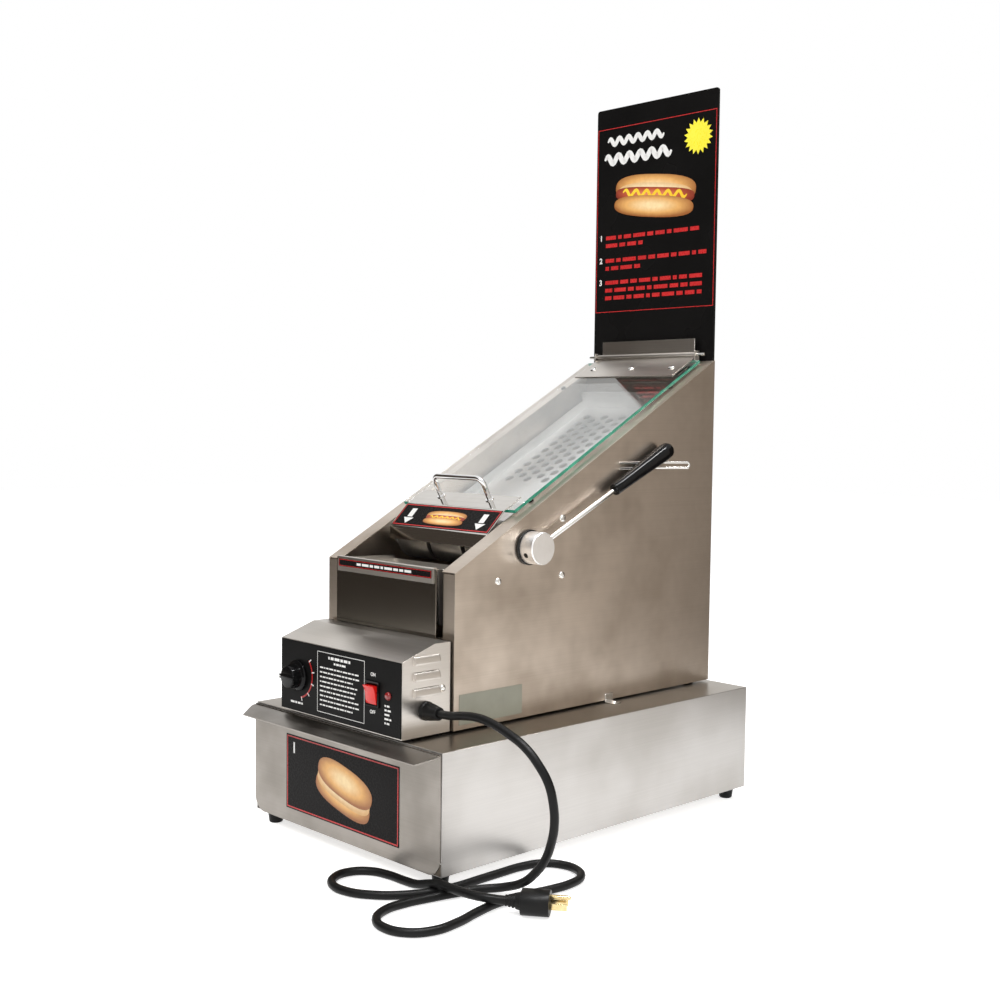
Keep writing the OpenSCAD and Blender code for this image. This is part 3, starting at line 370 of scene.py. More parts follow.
def tint_by(tree, value, shader, low, high, start=0.3, end=0.7):
    ramp = tree.nodes.new("ShaderNodeValToRGB")
    ramp.color_ramp.elements[0].position, ramp.color_ramp.elements[1].position = start, end
    ramp.color_ramp.elements[0].color, ramp.color_ramp.elements[1].color = (*low, 1), (*high, 1)
    ramp.color_ramp.interpolation = "B_SPLINE"
    tree.links.new(value, ramp.inputs["Fac"])
    if shader is not None:
        tree.links.new(ramp.outputs["Color"], shader.inputs["Base Color"])
    return ramp.outputs["Color"]


def number_by(tree, value, shader, low, high, target="Roughness", start=0.3, end=0.7):
    spread = tree.nodes.new("ShaderNodeMapRange")
    spread.inputs["From Min"].default_value, spread.inputs["From Max"].default_value = start, end
    spread.inputs["To Min"].default_value, spread.inputs["To Max"].default_value = low, high
    spread.interpolation_type = "SMOOTHSTEP"
    tree.links.new(value, spread.inputs["Value"])
    tree.links.new(spread.outputs["Result"], shader.inputs[target])


def raise_by(tree, value, shader, distance, strength=0.4):
    bump = tree.nodes.new("ShaderNodeBump")
    bump.inputs["Distance"].default_value = distance
    bump.inputs["Strength"].default_value = strength
    tree.links.new(value, bump.inputs["Height"])
    tree.links.new(bump.outputs["Normal"], shader.inputs["Normal"])


def multiplied(tree, first, second):
    mix = tree.nodes.new("ShaderNodeMix")
    mix.data_type, mix.blend_type = "RGBA", "MULTIPLY"
    mix.inputs["Factor"].default_value = 1.0
    tree.links.new(first, mix.inputs["A"])
    tree.links.new(second, mix.inputs["B"])
    return mix.outputs["Result"]


print("helpers ready")

# %% [markdown]
# Stainless sheet comes off the mill with a straight brushed grain. On the upright sheets it runs
# level, and on the deck it runs from front to back, so one function makes the finish with either
# grain. The grain shows as fine streaks in the colour and a very shallow bump, and cloudy patches of
# a warmer, duller and rougher tone keep the large faces from looking like plastic.

# %% Brushed stainless
finishes = {}


def brushed_steel(name, stretch, pale, dull, rough=(0.29, 0.42), patch=5.0):
    finish, tree, shader = new_finish(name, pale, 0.3, 1.0, Anisotropic=0.35)
    marks = add_group(tree, brush_group, Stretch=stretch)
    clouds = add_group(tree, cloud_group, Size=patch)
    cloudy = tint_by(tree, clouds.outputs["Patches"], None, dull, pale, 0.35, 0.62)
    streaky = tint_by(tree, marks.outputs["Marks"], None, (0.93, 0.93, 0.93), (1, 1, 1), 0.3, 0.6)
    tree.links.new(multiplied(tree, cloudy, streaky), shader.inputs["Base Color"])
    number_by(tree, clouds.outputs["Patches"], shader, rough[1], rough[0])
    raise_by(tree, marks.outputs["Marks"], shader, 0.00004, 0.2)
    finishes[name] = finish


level_streaks, streaks_to_back = (5, 5, 1100), (1100, 5, 5)
brushed_steel("level_grain", level_streaks, (0.63, 0.595, 0.555), (0.49, 0.455, 0.41))
brushed_steel("panel_grain", level_streaks, (0.68, 0.60, 0.52), (0.37, 0.305, 0.245), patch=10.0)
# The tray's steel is painted very pale: painted light, standing for the bright light that falls into the
# cabinet from above.
brushed_steel("tray_grain_painted_light", streaks_to_back, (0.93, 0.92, 0.90), (0.84, 0.83, 0.81), (0.34, 0.46))
brushed_steel("base_grain", level_streaks, (0.54, 0.525, 0.51), (0.44, 0.42, 0.395), patch=7.0)
brushed_steel("drawer_grain", level_streaks, (0.33, 0.305, 0.28), (0.25, 0.23, 0.205), patch=12.0)
brushed_steel("deck_grain", streaks_to_back, (0.36, 0.325, 0.28), (0.27, 0.235, 0.195))
# This polished steel is painted dark: a painted dark reflection on the mirror faces of the front panel and
# the sign holder.
brushed_steel("dark_steel", (8, 8, 700), (0.36, 0.34, 0.31), (0.27, 0.255, 0.225), (0.10, 0.16))
brushed_steel("polished_steel", (5, 5, 900), (0.66, 0.635, 0.60), (0.58, 0.55, 0.51), (0.08, 0.15), 14.0)
brushed_steel("rail_steel", (60, 4, 60), (0.50, 0.49, 0.47), (0.42, 0.41, 0.39))
brushed_steel("bright_steel", (300, 300, 300), (0.76, 0.75, 0.73), (0.64, 0.63, 0.6), (0.14, 0.26), 90.0)
print("steel finishes", list(finishes))

# %% [markdown]
# The small metal parts differ: the handle and the rod are chromed, with a mirror surface and a few
# faint smears, the hub is turned aluminium with round tool marks about its axis, the drum is cast
# and a little grainy, and the heater is a heat-blued tube.

# %% Other metals
def clouded(name, color, rough, metallic, patch, low, high, **sockets):
    finish, tree, shader = new_finish(name, color, rough, metallic, **sockets)
    clouds = add_group(tree, cloud_group, Size=patch)
    tint_by(tree, clouds.outputs["Patches"], shader, low, high)
    finishes[name] = finish
    return tree, shader, clouds.outputs


tree, shader, clouds = clouded("chrome_plate", (0.82, 0.82, 0.82), 0.06, 1.0, 40.0,
                               (0.76, 0.755, 0.75), (0.86, 0.86, 0.86))
number_by(tree, clouds["Patches"], shader, 0.04, 0.14)

tree, shader, clouds = clouded("turned_aluminium", (0.72, 0.71, 0.69), 0.3, 1.0, 60.0,
                               (0.84, 0.83, 0.815), (0.93, 0.925, 0.92))
place = tree.nodes.new("ShaderNodeTexCoord")
centre = tree.nodes.new("ShaderNodeMapping")
hub_axis = at(0, -84, 337)
centre.inputs["Location"].default_value = -hub_axis
tree.links.new(place.outputs["Object"], centre.inputs["Vector"])
rings = tree.nodes.new("ShaderNodeTexWave")
rings.wave_type, rings.rings_direction = "RINGS", "X"
rings.inputs["Scale"].default_value = 320.0
rings.inputs["Distortion"].default_value = 0.6
tree.links.new(centre.outputs["Vector"], rings.inputs["Vector"])
number_by(tree, rings.outputs["Fac"], shader, 0.29, 0.40, start=0.0, end=1.0)
raise_by(tree, rings.outputs["Fac"], shader, 0.00004, 0.2)

tree, shader, clouds = clouded("cast_aluminium", (0.52, 0.51, 0.49), 0.42, 1.0, 30.0,
                               (0.42, 0.40, 0.37), (0.60, 0.585, 0.56))
number_by(tree, clouds["Specks"], shader, 0.34, 0.5)
raise_by(tree, clouds["Specks"], shader, 0.0002, 0.3)
clouded("heater_sheath", (0.22, 0.20, 0.19), 0.45, 1.0, 25.0, (0.13, 0.11, 0.12), (0.34, 0.29, 0.24))
clouded("plug_brass", (0.72, 0.58, 0.30), 0.22, 1.0, 120.0, (0.62, 0.47, 0.22), (0.80, 0.67, 0.40))
print("metals", len(finishes))

# %% [markdown]
# Rubber and plastic are told apart by their gloss: the feet and the lead are dull with a fine grain
# and a little dust, the grip and the knob are moulded and glossy, and the washer is between them.
# The rocker key is clear bright red, and the lamp's lens is a deep red that light enters.

# %% Rubber and plastic
def moulded(name, pale, dull, rough, grain, patch=30.0, **sockets):
    tree, shader, clouds = clouded(name, pale, rough[0], 0.0, patch, dull, pale, **sockets)
    number_by(tree, clouds["Patches"], shader, rough[0], rough[1])
    raise_by(tree, clouds["Specks"], shader, grain, 0.3)


moulded("black_rubber", (0.012, 0.012, 0.012), (0.006, 0.006, 0.006), (0.34, 0.46), 0.00012,
        Specular_IOR_Level=0.16)
moulded("satin_nylon", (0.02, 0.02, 0.021), (0.012, 0.012, 0.012), (0.30, 0.42), 0.00008,
        Specular_IOR_Level=0.3)
moulded("gloss_phenolic", (0.006, 0.006, 0.007), (0.004, 0.004, 0.004), (0.05, 0.09), 0.00002,
        Specular_IOR_Level=0.16)
moulded("sign_board_black", (0.008, 0.0075, 0.0075), (0.005, 0.005, 0.005), (0.2, 0.3), 0.00002, 7.0,
        Specular_IOR_Level=0.12)
moulded("panel_black", (0.007, 0.007, 0.007), (0.004, 0.004, 0.004), (0.26, 0.38), 0.00004, 18.0,
        Specular_IOR_Level=0.07)
moulded("rocker_red", (0.78, 0.012, 0.008), (0.62, 0.008, 0.006), (0.12, 0.2), 0.00002, 80.0)
moulded("lamp_red", (0.30, 0.006, 0.006), (0.18, 0.003, 0.003), (0.06, 0.12), 0.00001, 90.0, Coat_Weight=0.6)
moulded("white_bushing", (0.62, 0.60, 0.55), (0.5, 0.48, 0.43), (0.35, 0.5), 0.00004, 60.0)
print("finishes", len(finishes))

# %% [markdown]
# The lid is a pane of toughened float glass. Looked at squarely it is nearly invisible, and at a
# flat angle it mirrors the room. Light goes straight through such a thin sheet, so each face is a
# faint mirror whose opacity grows with the viewing angle. The cut edges gather the green of the
# glass, so the pane carries a second finish for them.

# %% Glass
finish, tree, shader = new_finish("pane_face", (0.95, 0.97, 0.965), 0.0, 1.0)
clouds = add_group(tree, cloud_group, Size=9.0)
number_by(tree, clouds.outputs["Patches"], shader, 0.0, 0.05, start=0.45, end=0.8)
flatness = tree.nodes.new("ShaderNodeLayerWeight")
steeper = tree.nodes.new("ShaderNodeMath")
steeper.operation = "POWER"
steeper.inputs[1].default_value = 5.0
tree.links.new(flatness.outputs["Facing"], steeper.inputs[0])
number_by(tree, steeper.outputs[0], shader, 0.21, 1.0, target="Alpha", start=0.0, end=1.0)
finishes["pane_face"] = finish
clouded("pane_edge", (0.03, 0.30, 0.20), 0.15, 0.0, 60.0, (0.015, 0.20, 0.13), (0.06, 0.40, 0.28))
print("glass finishes ready")

# %% [markdown]
# Sheet-metal parts are never knife-sharp: the shears and the press brake leave a small radius that
# catches the light. Each solid that shows is copied, its loose triangles are merged and its flat
# areas joined, and a narrow bevel is applied to its sharp edges. Sheets with holes keep their
# triangles, because joined faces round a hole take false shadows. Large flat faces are then shaded
# flat, and the copy stands for the solid.

# %% Soften the edges
def nothing_selected():
    if bpy.context.object and bpy.context.object.mode != "OBJECT":
        bpy.ops.object.mode_set(mode="OBJECT")
    bpy.ops.object.select_all(action="DESELECT")


def make_active(piece):
    nothing_selected()
    piece.select_set(True)
    bpy.context.view_layer.objects.active = piece


weld_distance, bevel_segments = 0.00001, 2
bevelled_above, smooth_below = math.radians(35), math.radians(32)
least_flat_area, least_flat_width = 0.00008, 0.007


def plane_of(face):
    return (*(round(part, 2) for part in face.normal), round(face.normal.dot(face.center), 4))


def softened(node, finish, width=0.0004, join_flats=True):
    solid = frame["nodes"][node]
    piece = solid.copy()
    piece.data = solid.data.copy()
    piece.name = node + "_soft"
    piece.parent = None
    piece.matrix_world = Matrix.Identity(4)
    for key in list(piece.keys()):
        del piece[key]
    bpy.context.collection.objects.link(piece)
    piece.hide_render = False
    make_active(piece)
    bpy.ops.object.mode_set(mode="EDIT")
    bpy.ops.mesh.select_all(action="SELECT")
    bpy.ops.mesh.remove_doubles(threshold=weld_distance)
    if join_flats:
        bpy.ops.mesh.dissolve_limited(angle_limit=math.radians(0.5))
    bpy.ops.object.mode_set(mode="OBJECT")
    if width:
        bevel = piece.modifiers.new("edge_radius", "BEVEL")
        bevel.width, bevel.segments = width, bevel_segments
        bevel.limit_method, bevel.angle_limit = "ANGLE", bevelled_above
        bpy.ops.object.modifier_apply(modifier="edge_radius")
    bpy.ops.object.shade_smooth_by_angle(angle=smooth_below)
    corners = piece.data.vertices
    flats = set()
    for face in piece.data.polygons:
        longest = max((corners[a].co - corners[b].co).length for a, b in face.edge_keys)
        if face.area > least_flat_area and face.area / longest > least_flat_width:
            flats.add(plane_of(face))
    for face in piece.data.polygons:
        if plane_of(face) in flats:
            face.use_smooth = False
    piece.data.materials.clear()
    piece.data.materials.append(finishes[finish])
    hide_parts(node)
    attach(piece, body_of_node[node])
    return piece


# The front panel and the sign holder take the steel painted with a dark reflection.
# The hot dog tray takes the steel painted with light.
soft_pieces = {
    "base_shell": ("base_grain", 0.0005), "drawer_front": ("drawer_grain", 0.0005),
    "side_panel_left": ("panel_grain", 0.0005), "side_panel_right": ("panel_grain", 0.0005),
    "control_housing": ("level_grain", 0.0004), "rear_panel": ("level_grain", 0.0003),
    "front_panel": ("dark_steel", 0.0003), "bun_tray": ("level_grain", 0.0003),
    "clamp_plate": ("level_grain", 0.0003), "nose_plate": ("polished_steel", 0.0003),
    "hold_down_clips": ("bright_steel", 0.0003), "sign_holder": ("dark_steel", 0.0003),
    "sign_board": ("sign_board_black", 0.0004), "face_plate": ("panel_black", 0.0002),
    "switch_body": ("gloss_phenolic", 0.0005), "switch_rocker": ("rocker_red", 0.0006),
    "control_knob": ("gloss_phenolic", 0.0005), "lever_hub": ("turned_aluminium", 0.0004),
    "hub_washer": ("satin_nylon", 0.0003), "lever_grip": ("gloss_phenolic", 0.0002),
    "lever_rod": ("chrome_plate", 0.0002), "lever_rest": ("bright_steel", 0.0),
    "hinge_pin": ("bright_steel", 0.0004), "lid_handle": ("chrome_plate", 0.0),
    "panel_screws": ("bright_steel", 0.0), "housing_screws": ("bright_steel", 0.0),
    "clamp_screws": ("bright_steel", 0.0), "indicator_lamp": ("lamp_red", 0.0),
    "cord_bushing": ("black_rubber", 0.0003), "base_feet": ("black_rubber", 0.0004),
    "cabinet_pads": ("black_rubber", 0.0003), "lid_bumpers": ("black_rubber", 0.0002),
    "plug_body": ("black_rubber", 0.0006), "plug_pins": ("plug_brass", 0.0003),
    "dispenser_drum": ("cast_aluminium", 0.0006), "drum_shaft": ("bright_steel", 0.0003),
    "shaft_clip": ("bright_steel", 0.0001), "hot_dog_tray": ("tray_grain_painted_light", 0.0),
    "shaft_bushings": ("white_bushing", 0.0003), "clamp_backing": ("level_grain", 0.0003)}
sheets_with_holes = ("side_panel_left", "side_panel_right", "hot_dog_tray", "rear_panel")
pieces = {}
for node, (finish_name, edge_width) in soft_pieces.items():
    pieces[node] = softened(node, finish_name, edge_width, join_flats=node not in sheets_with_holes)
mains_lead.data.materials.append(finishes["black_rubber"])
faces_up = 0.9
shell = pieces["base_shell"]
shell.data.materials.append(finishes["deck_grain"])
for face in shell.data.polygons:
    if face.normal.z > faces_up:
        face.material_index = 1
print("softened", len(pieces), "pieces")

# %% [markdown]
# What stays hidden inside, such as the slides, the water pan and the heater, keeps its CAD shape and
# only gets its finish.

# %% Finishes of the inner parts
inner_finish = {"slide_rail_left": "rail_steel", "slide_rail_right": "rail_steel",
                "drawer_runners": "rail_steel", "drawer_pan": "deck_grain",
                "cabinet_floor": "deck_grain", "tray_rails": "level_grain",
                "water_pan": "level_grain", "heating_element": "heater_sheath", "thermostat": "satin_nylon"}
for node, finish_name in inner_finish.items():
    solid = frame["nodes"][node]
    solid.data.materials.clear()
    solid.data.materials.append(finishes[finish_name])
print("inner parts", len(inner_finish))

# %% [markdown]
# The pane is a copy of its solid too. Its narrow faces, those that look sideways in the sloped frame
# of the lid, take the green edge finish, except at the left end, which is seen through the glass.

# %% Lid pane
pane = softened("lid_glass", "pane_face")
pane.name = "lid_pane"
pane.data.materials.append(finishes["pane_edge"])
pane_up = Vector((0, -math.sin(slope), math.cos(slope)))
edge_faces = 0
looks_sideways, looks_left = 0.8, -0.5
for face in pane.data.polygons:
    if abs(face.normal.dot(pane_up)) < looks_sideways and face.normal.x > looks_left:
        face.material_index = 1
        edge_faces += 1
print("edge faces", edge_faces)

# %% [markdown]
# The printed labels are thin vinyl, and what is printed on them is built as a very thin layer in
# front of the vinyl. The words and pictures of the real labels are not repeated: short bars stand
# for words, plain numerals number the steps, and simple drawings of a bun and a hot dog take the
# place of the pictures. Everything is first made flat, facing forward about the world's middle.

# %% Print colours
def printed(name, low, high, rough=0.3, patch=40.0, **sockets):
    tree, shader, clouds = clouded(name, high, rough, 0.0, patch, low, high, **sockets)
    number_by(tree, clouds["Specks"], shader, rough - 0.05, rough + 0.08)


def shaded_print(name, rim, body, crown, stops=(0.0, 0.35, 0.8)):
    finish, tree, shader = new_finish(name, body, 0.32)
    place = tree.nodes.new("ShaderNodeTexCoord")
    centre = tree.nodes.new("ShaderNodeMapping")
    centre.inputs["Location"].default_value = (-1, -1.1, 0)
    centre.inputs["Scale"].default_value = (2, 2, 0)
    fade = tree.nodes.new("ShaderNodeTexGradient")
    fade.gradient_type = "SPHERICAL"
    ramp = tree.nodes.new("ShaderNodeValToRGB")
    ramp.color_ramp.elements.new(0.5)
    for element, stop, color in zip(ramp.color_ramp.elements, stops, (rim, body, crown)):
        element.position, element.color = stop, (*color, 1)
    crust = add_group(tree, cloud_group, Size=160.0)
    toasted = tint_by(tree, crust.outputs["Patches"], None, (0.86, 0.80, 0.72), (1, 1, 1))
    tree.links.new(place.outputs["UV"], centre.inputs["Vector"])
    tree.links.new(centre.outputs["Vector"], fade.inputs["Vector"])
    tree.links.new(fade.outputs["Fac"], ramp.inputs["Fac"])
    tree.links.new(multiplied(tree, ramp.outputs["Color"], toasted), shader.inputs["Base Color"])
    finishes[name] = finish


printed("ink_white", (0.74, 0.74, 0.73), (0.82, 0.82, 0.81))
printed("ink_red", (0.46, 0.012, 0.014), (0.60, 0.022, 0.022))
printed("ink_yellow", (0.86, 0.74, 0.03), (0.93, 0.84, 0.06))
printed("ink_mustard", (0.85, 0.52, 0.02), (0.95, 0.68, 0.05))
printed("label_vinyl", (0.007, 0.006, 0.006), (0.011, 0.010, 0.010), 0.25, 12.0, Specular_IOR_Level=0.06)
printed("blank_foil", (0.24, 0.24, 0.19), (0.33, 0.33, 0.27), 0.35, 20.0)
shaded_print("bun_print", (0.34, 0.12, 0.03), (0.80, 0.44, 0.14), (0.95, 0.74, 0.42))
shaded_print("crumb_print", (0.72, 0.45, 0.20), (0.90, 0.72, 0.45), (0.97, 0.88, 0.68))
shaded_print("sausage_print", (0.22, 0.03, 0.015), (0.50, 0.09, 0.04), (0.78, 0.24, 0.12))
print("print colours ready")

# %% [markdown]
# Five small builders make the printed shapes. A bar starts as a flat box whose corner edges are
# bevelled, and a frame line is a plane that is inset and hollowed out. An oval is a filled circle
# whose corners are pushed out, a ribbon is a grid bent like a line of mustard, and a numeral is text
# turned into a mesh. Flat shapes are stood up to face forward and given the thickness of the ink.

# %% Shapes for print
ink = 0.00008
quarter_turn = math.radians(90)


def settle():
    bpy.ops.object.transform_apply(location=True, rotation=True, scale=True)


def fresh(name):
    shape = bpy.context.object
    shape.name = name
    return shape


def bar(name, x, z, width, height, corner, finish, thick=ink, layer=0.0, steps=3):
    nothing_selected()
    bpy.ops.mesh.primitive_cube_add(size=1, location=(x, -layer - thick / 2, z))
    shape = fresh(name)
    shape.scale = (width, thick, height)
    settle()
    bpy.ops.object.mode_set(mode="EDIT")
    mesh = bmesh.from_edit_mesh(shape.data)
    for edge in mesh.edges:
        run = edge.verts[0].co - edge.verts[1].co
        edge.select_set(abs(run.y) > 0.9 * run.length)
    mesh.select_flush_mode()
    bmesh.update_edit_mesh(shape.data)
    if corner > 0:
        rounding = min(corner, 0.49 * height, 0.49 * width)
        bpy.ops.mesh.bevel(offset=rounding, segments=steps, affect="EDGES")
    bpy.ops.object.mode_set(mode="OBJECT")
    shape.data.materials.append(finishes[finish])
    return shape


def thicken(shape, layer):
    make_active(shape)
    wall = shape.modifiers.new("ink", "SOLIDIFY")
    wall.thickness, wall.offset = ink, 0
    bpy.ops.object.modifier_apply(modifier="ink")
    shape.location.y -= layer + ink / 2
    settle()
    return shape


def stand_up(shape, x, z, width, height, finish, layer):
    shape.rotation_euler = (quarter_turn, 0, 0)
    shape.scale = (width, height, 1)
    shape.location = (x, 0, z)
    make_active(shape)
    settle()
    shape.data.materials.append(finishes[finish])
    return thicken(shape, layer)


def frame_line(name, x, z, width, height, line, finish, layer=0.0):
    nothing_selected()
    bpy.ops.mesh.primitive_plane_add(size=1, location=(x, 0, z), rotation=(quarter_turn, 0, 0))
    shape = fresh(name)
    shape.scale = (width, height, 1)
    settle()
    bpy.ops.object.mode_set(mode="EDIT")
    bpy.ops.mesh.select_all(action="SELECT")
    bpy.ops.mesh.inset(thickness=line, depth=0)
    bpy.ops.mesh.delete(type="FACE")
    bpy.ops.object.mode_set(mode="OBJECT")
    shape.data.materials.append(finishes[finish])
    return thicken(shape, layer)


def oval(name, x, z, width, height, finish, layer=0.0, squareness=1.0, corners=40):
    nothing_selected()
    bpy.ops.mesh.primitive_circle_add(vertices=corners, radius=0.5, fill_type="NGON")
    shape = fresh(name)
    for corner in shape.data.vertices:
        angle = math.atan2(corner.co.y, corner.co.x)
        push = (abs(math.cos(angle)) ** (2 * squareness) + abs(math.sin(angle)) ** (2 * squareness))
        push = push ** (-0.5 / squareness)
        corner.co = (0.5 * push * math.cos(angle), 0.5 * push * math.sin(angle), 0)
    return stand_up(shape, x, z, width, height, finish, layer)


def ribbon(name, x, z, length, swing, waves, width, finish, layer=0.0):
    nothing_selected()
    bpy.ops.mesh.primitive_grid_add(x_subdivisions=12 * waves, y_subdivisions=1, size=1)
    shape = fresh(name)
    for corner in shape.data.vertices:
        along, side = corner.co.x, 1 if corner.co.y > 0 else -1
        phase = 2 * math.pi * waves * (along + 0.5)
        lean = 2 * math.pi * waves * swing / length * math.cos(phase)
        reach = math.sqrt(1 + lean * lean)
        taper = min(1.0, 0.35 + 14 * (0.5 - abs(along)))
        corner.co = (along * length - side * lean / reach * width / 2 * taper,
                     swing * math.sin(phase) + side / reach * width / 2 * taper, 0)
    return stand_up(shape, x, z, 1, 1, finish, layer)


def numeral(name, text, x, z, size, finish, layer=0.0):
    nothing_selected()
    bpy.ops.object.text_add(location=(x, 0, z), rotation=(quarter_turn, 0, 0))
    shape = fresh(name)
    shape.data.body = text
    shape.data.size = size
    shape.data.align_x = shape.data.align_y = "CENTER"
    shape.data.offset = size * 0.03
    shape.data.extrude = ink / 2
    bpy.ops.object.convert(target="MESH")
    shape = bpy.context.object
    shape.location.y -= layer + ink / 2
    settle()
    bpy.ops.object.mode_set(mode="EDIT")
    bpy.ops.mesh.select_all(action="SELECT")
    bpy.ops.mesh.remove_doubles(threshold=0.000002)
    bpy.ops.object.mode_set(mode="OBJECT")
    shape.data.materials.append(finishes[finish])
    return shape


print("shape builders ready")

# %% [markdown]
# Rows of short bars stand for lines of words. The widths follow a fixed list, so that the rows look
# like words of different lengths and come out the same on every run.

# %% Rows and drawings
word_widths = [7, 2.5, 5, 8, 4, 6, 3, 9, 5.5, 4.5, 7.5, 3.5]
letter_width, letters_in_gap = 0.9, 1.6


def word_row(name, x_start, x_end, z, height, finish, unit=1.0, first=0, layer=0.0):
    bars, x, turn_in_list = [], x_start, first
    while True:
        width = word_widths[turn_in_list % len(word_widths)] * unit
        if x + width > x_end:
            break
        bars.append(bar(f"{name}_{len(bars)}", (x + width / 2) / 1000, z / 1000, width / 1000,
                        height / 1000, height / 3000, finish, layer=layer, steps=2))
        x += width + letter_width * unit * letters_in_gap
        turn_in_list += 1
    return bars


hot_dog_layers = [
    ("back_bun", 0.17, 1, 0.62, "bun_print", 1.35), ("crumb", 0.05, 0.93, 0.5, "crumb_print", 1.4),
    ("sausage", 0.04, 0.98, 0.33, "sausage_print", 1.7), ("mustard", 0.07, 0.80, 0.07, "ink_mustard", 1),
    ("front_bun", -0.20, 0.99, 0.46, "bun_print", 1.35)]


def hot_dog_drawing(name, length, tall, x, z, tilt):
    """A bun with a sausage and one wavy line of mustard, turned by tilt about its own middle."""
    parts = []
    for number, (part, rise, reach, height, finish, squareness) in enumerate(hot_dog_layers, start=1):
        if part == "mustard":
            parts.append(ribbon(f"{name}_{part}", 0, tall * rise, length * reach, tall * 0.065, 6,
                                tall * height, finish, number * ink))
        else:
            parts.append(oval(f"{name}_{part}", 0, tall * rise, length * reach, tall * height, finish,
                              number * ink, squareness))
    drawing = joined(name, parts)
    drawing.rotation_euler = (0, -math.radians(tilt), 0)
    drawing.location = (x, 0, z)
    settle()
    return drawing


def joined(name, shapes):
    nothing_selected()
    for shape in shapes:
        shape.select_set(True)
    bpy.context.view_layer.objects.active = shapes[0]
    bpy.ops.object.join()
    whole = bpy.context.object
    whole.name = name
    return whole


def put_on(piece, location, tilt, body):
    """Moves a flat piece from the world's middle to its surface; tilt leans its top backwards."""
    make_active(piece)
    piece.rotation_euler = (-math.radians(tilt), 0, 0)
    piece.location = location
    settle()
    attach(piece, body)
    pieces[piece.name] = piece
    return piece


print("drawing builders ready")

# %% [markdown]
# The sign board carries a red frame, a yellow starburst, two white waving lines where a title would
# be, the hot dog drawing, and three numbered steps.

# %% Sign print
def starburst(name, x, z, outer, inner, points, finish, layer):
    nothing_selected()
    bpy.ops.mesh.primitive_circle_add(vertices=2 * points, radius=outer, fill_type="NGON")
    shape = fresh(name)
    for corner in shape.data.vertices:
        if corner.index % 2:
            corner.co = corner.co * (inner / outer)
    return stand_up(shape, x, z, 1, 1, finish, layer)


sign_lines = [frame_line("sign_frame", 0, 0.0015, 0.202, 0.250, 0.0009, "ink_red"),
              starburst("sign_burst", 0.072, 0.0955, 0.0235, 0.0175, 18, "ink_yellow", ink),
              ribbon("title_upper", -0.034, 0.108, 0.098, 0.0042, 6, 0.0062, "ink_white", ink),
              ribbon("title_lower", -0.030, 0.084, 0.116, 0.0052, 6, 0.0078, "ink_white", ink)]
steps = [(-22, 1, [(-84, 88, 0), (-84, -8, 3)]), (-53, 2, [(-84, 92, 5), (-84, -14, 1)]),
         (-83, 3, [(-84, 92, 7), (-84, 90, 2), (-84, 84, 9)])]
sign_row_pitch = 10.5
for top, number, rows in steps:
    sign_lines.append(numeral(f"step_number_{number}", str(number), -0.0925, top / 1000, 0.0105,
                              "ink_white", ink))
    for row, (start, end, first) in enumerate(rows):
        sign_lines += word_row(f"step_{number}_{row}", start, end, top - sign_row_pitch * row, 5.2,
                               "ink_red", 2.6, first, ink)
sign_lines.append(hot_dog_drawing("sign_hot_dog", 0.138, 0.062, 0.0, 0.026, -7))
sign_print = joined("sign_print", sign_lines)
put_on(sign_print, at(0, 256, 752) - Vector((0, 0.0001, 0)), 0, "cabinet")
print("sign print", len(sign_print.data.polygons), "faces")

# %% [markdown]
# The drawer label is a black vinyl sheet with a red border, a plain numeral and a drawing of a split
# bun, and it rides with the drawer. The tray's narrow strip and the nose's label are made alike.

# %% Drawer, tray and nose labels
vinyl, thin_vinyl = 0.0003, 0.00025
drawer_parts = [bar("drawer_vinyl", 0, 0, 0.202, 0.086, 0.002, "label_vinyl", vinyl),
                frame_line("drawer_border", 0, 0, 0.199, 0.083, 0.0014, "ink_red", vinyl),
                numeral("drawer_number", "1", -0.086, 0.028, 0.017, "ink_white", vinyl)]
bun = joined("drawer_bun", [oval("bun_lower", 0, -0.009, 0.098, 0.034, "bun_print", vinyl, 1.35),
                            oval("bun_inside", 0, -0.001, 0.095, 0.030, "crumb_print", vinyl + ink, 1.4),
                            oval("bun_upper", 0, 0.008, 0.098, 0.036, "bun_print", vinyl + 2 * ink, 1.3)])
bun.rotation_euler = (0, math.radians(14), 0)
bun.location = (0.006, 0, -0.001)
settle()
drawer_label = joined("drawer_label", drawer_parts + [bun])
put_on(drawer_label, at(0, -260.8, 74), 0, "drawer")

strip_parts = [bar("strip_vinyl", 0, 0, 0.163, 0.0086, 0.0008, "label_vinyl", thin_vinyl),
               frame_line("strip_border", 0, 0, 0.162, 0.0076, 0.0006, "ink_red", thin_vinyl)]
strip_parts += word_row("strip_words", -48, 52, 0, 2.8, "ink_white", 1.5, 2, thin_vinyl)
tray_strip = joined("tray_strip", strip_parts)
put_on(tray_strip, at(0, -200.9 - 1.4, 312.0), 0, "cabinet")


def down_arrow(name, x, layer):
    head = oval(name + "_head", x, -0.0075, 0.020, 0.012, "ink_white", layer, 1.0, 3)
    head.data.transform(Matrix.Translation((x, 0, -0.0075)) @ Matrix.Rotation(math.pi, 4, "Y")
                        @ Matrix.Translation((-x, 0, 0.0075)))
    return [head, bar(name + "_stem", x, 0.0035, 0.0085, 0.013, 0.0006, "ink_white", layer=layer)]


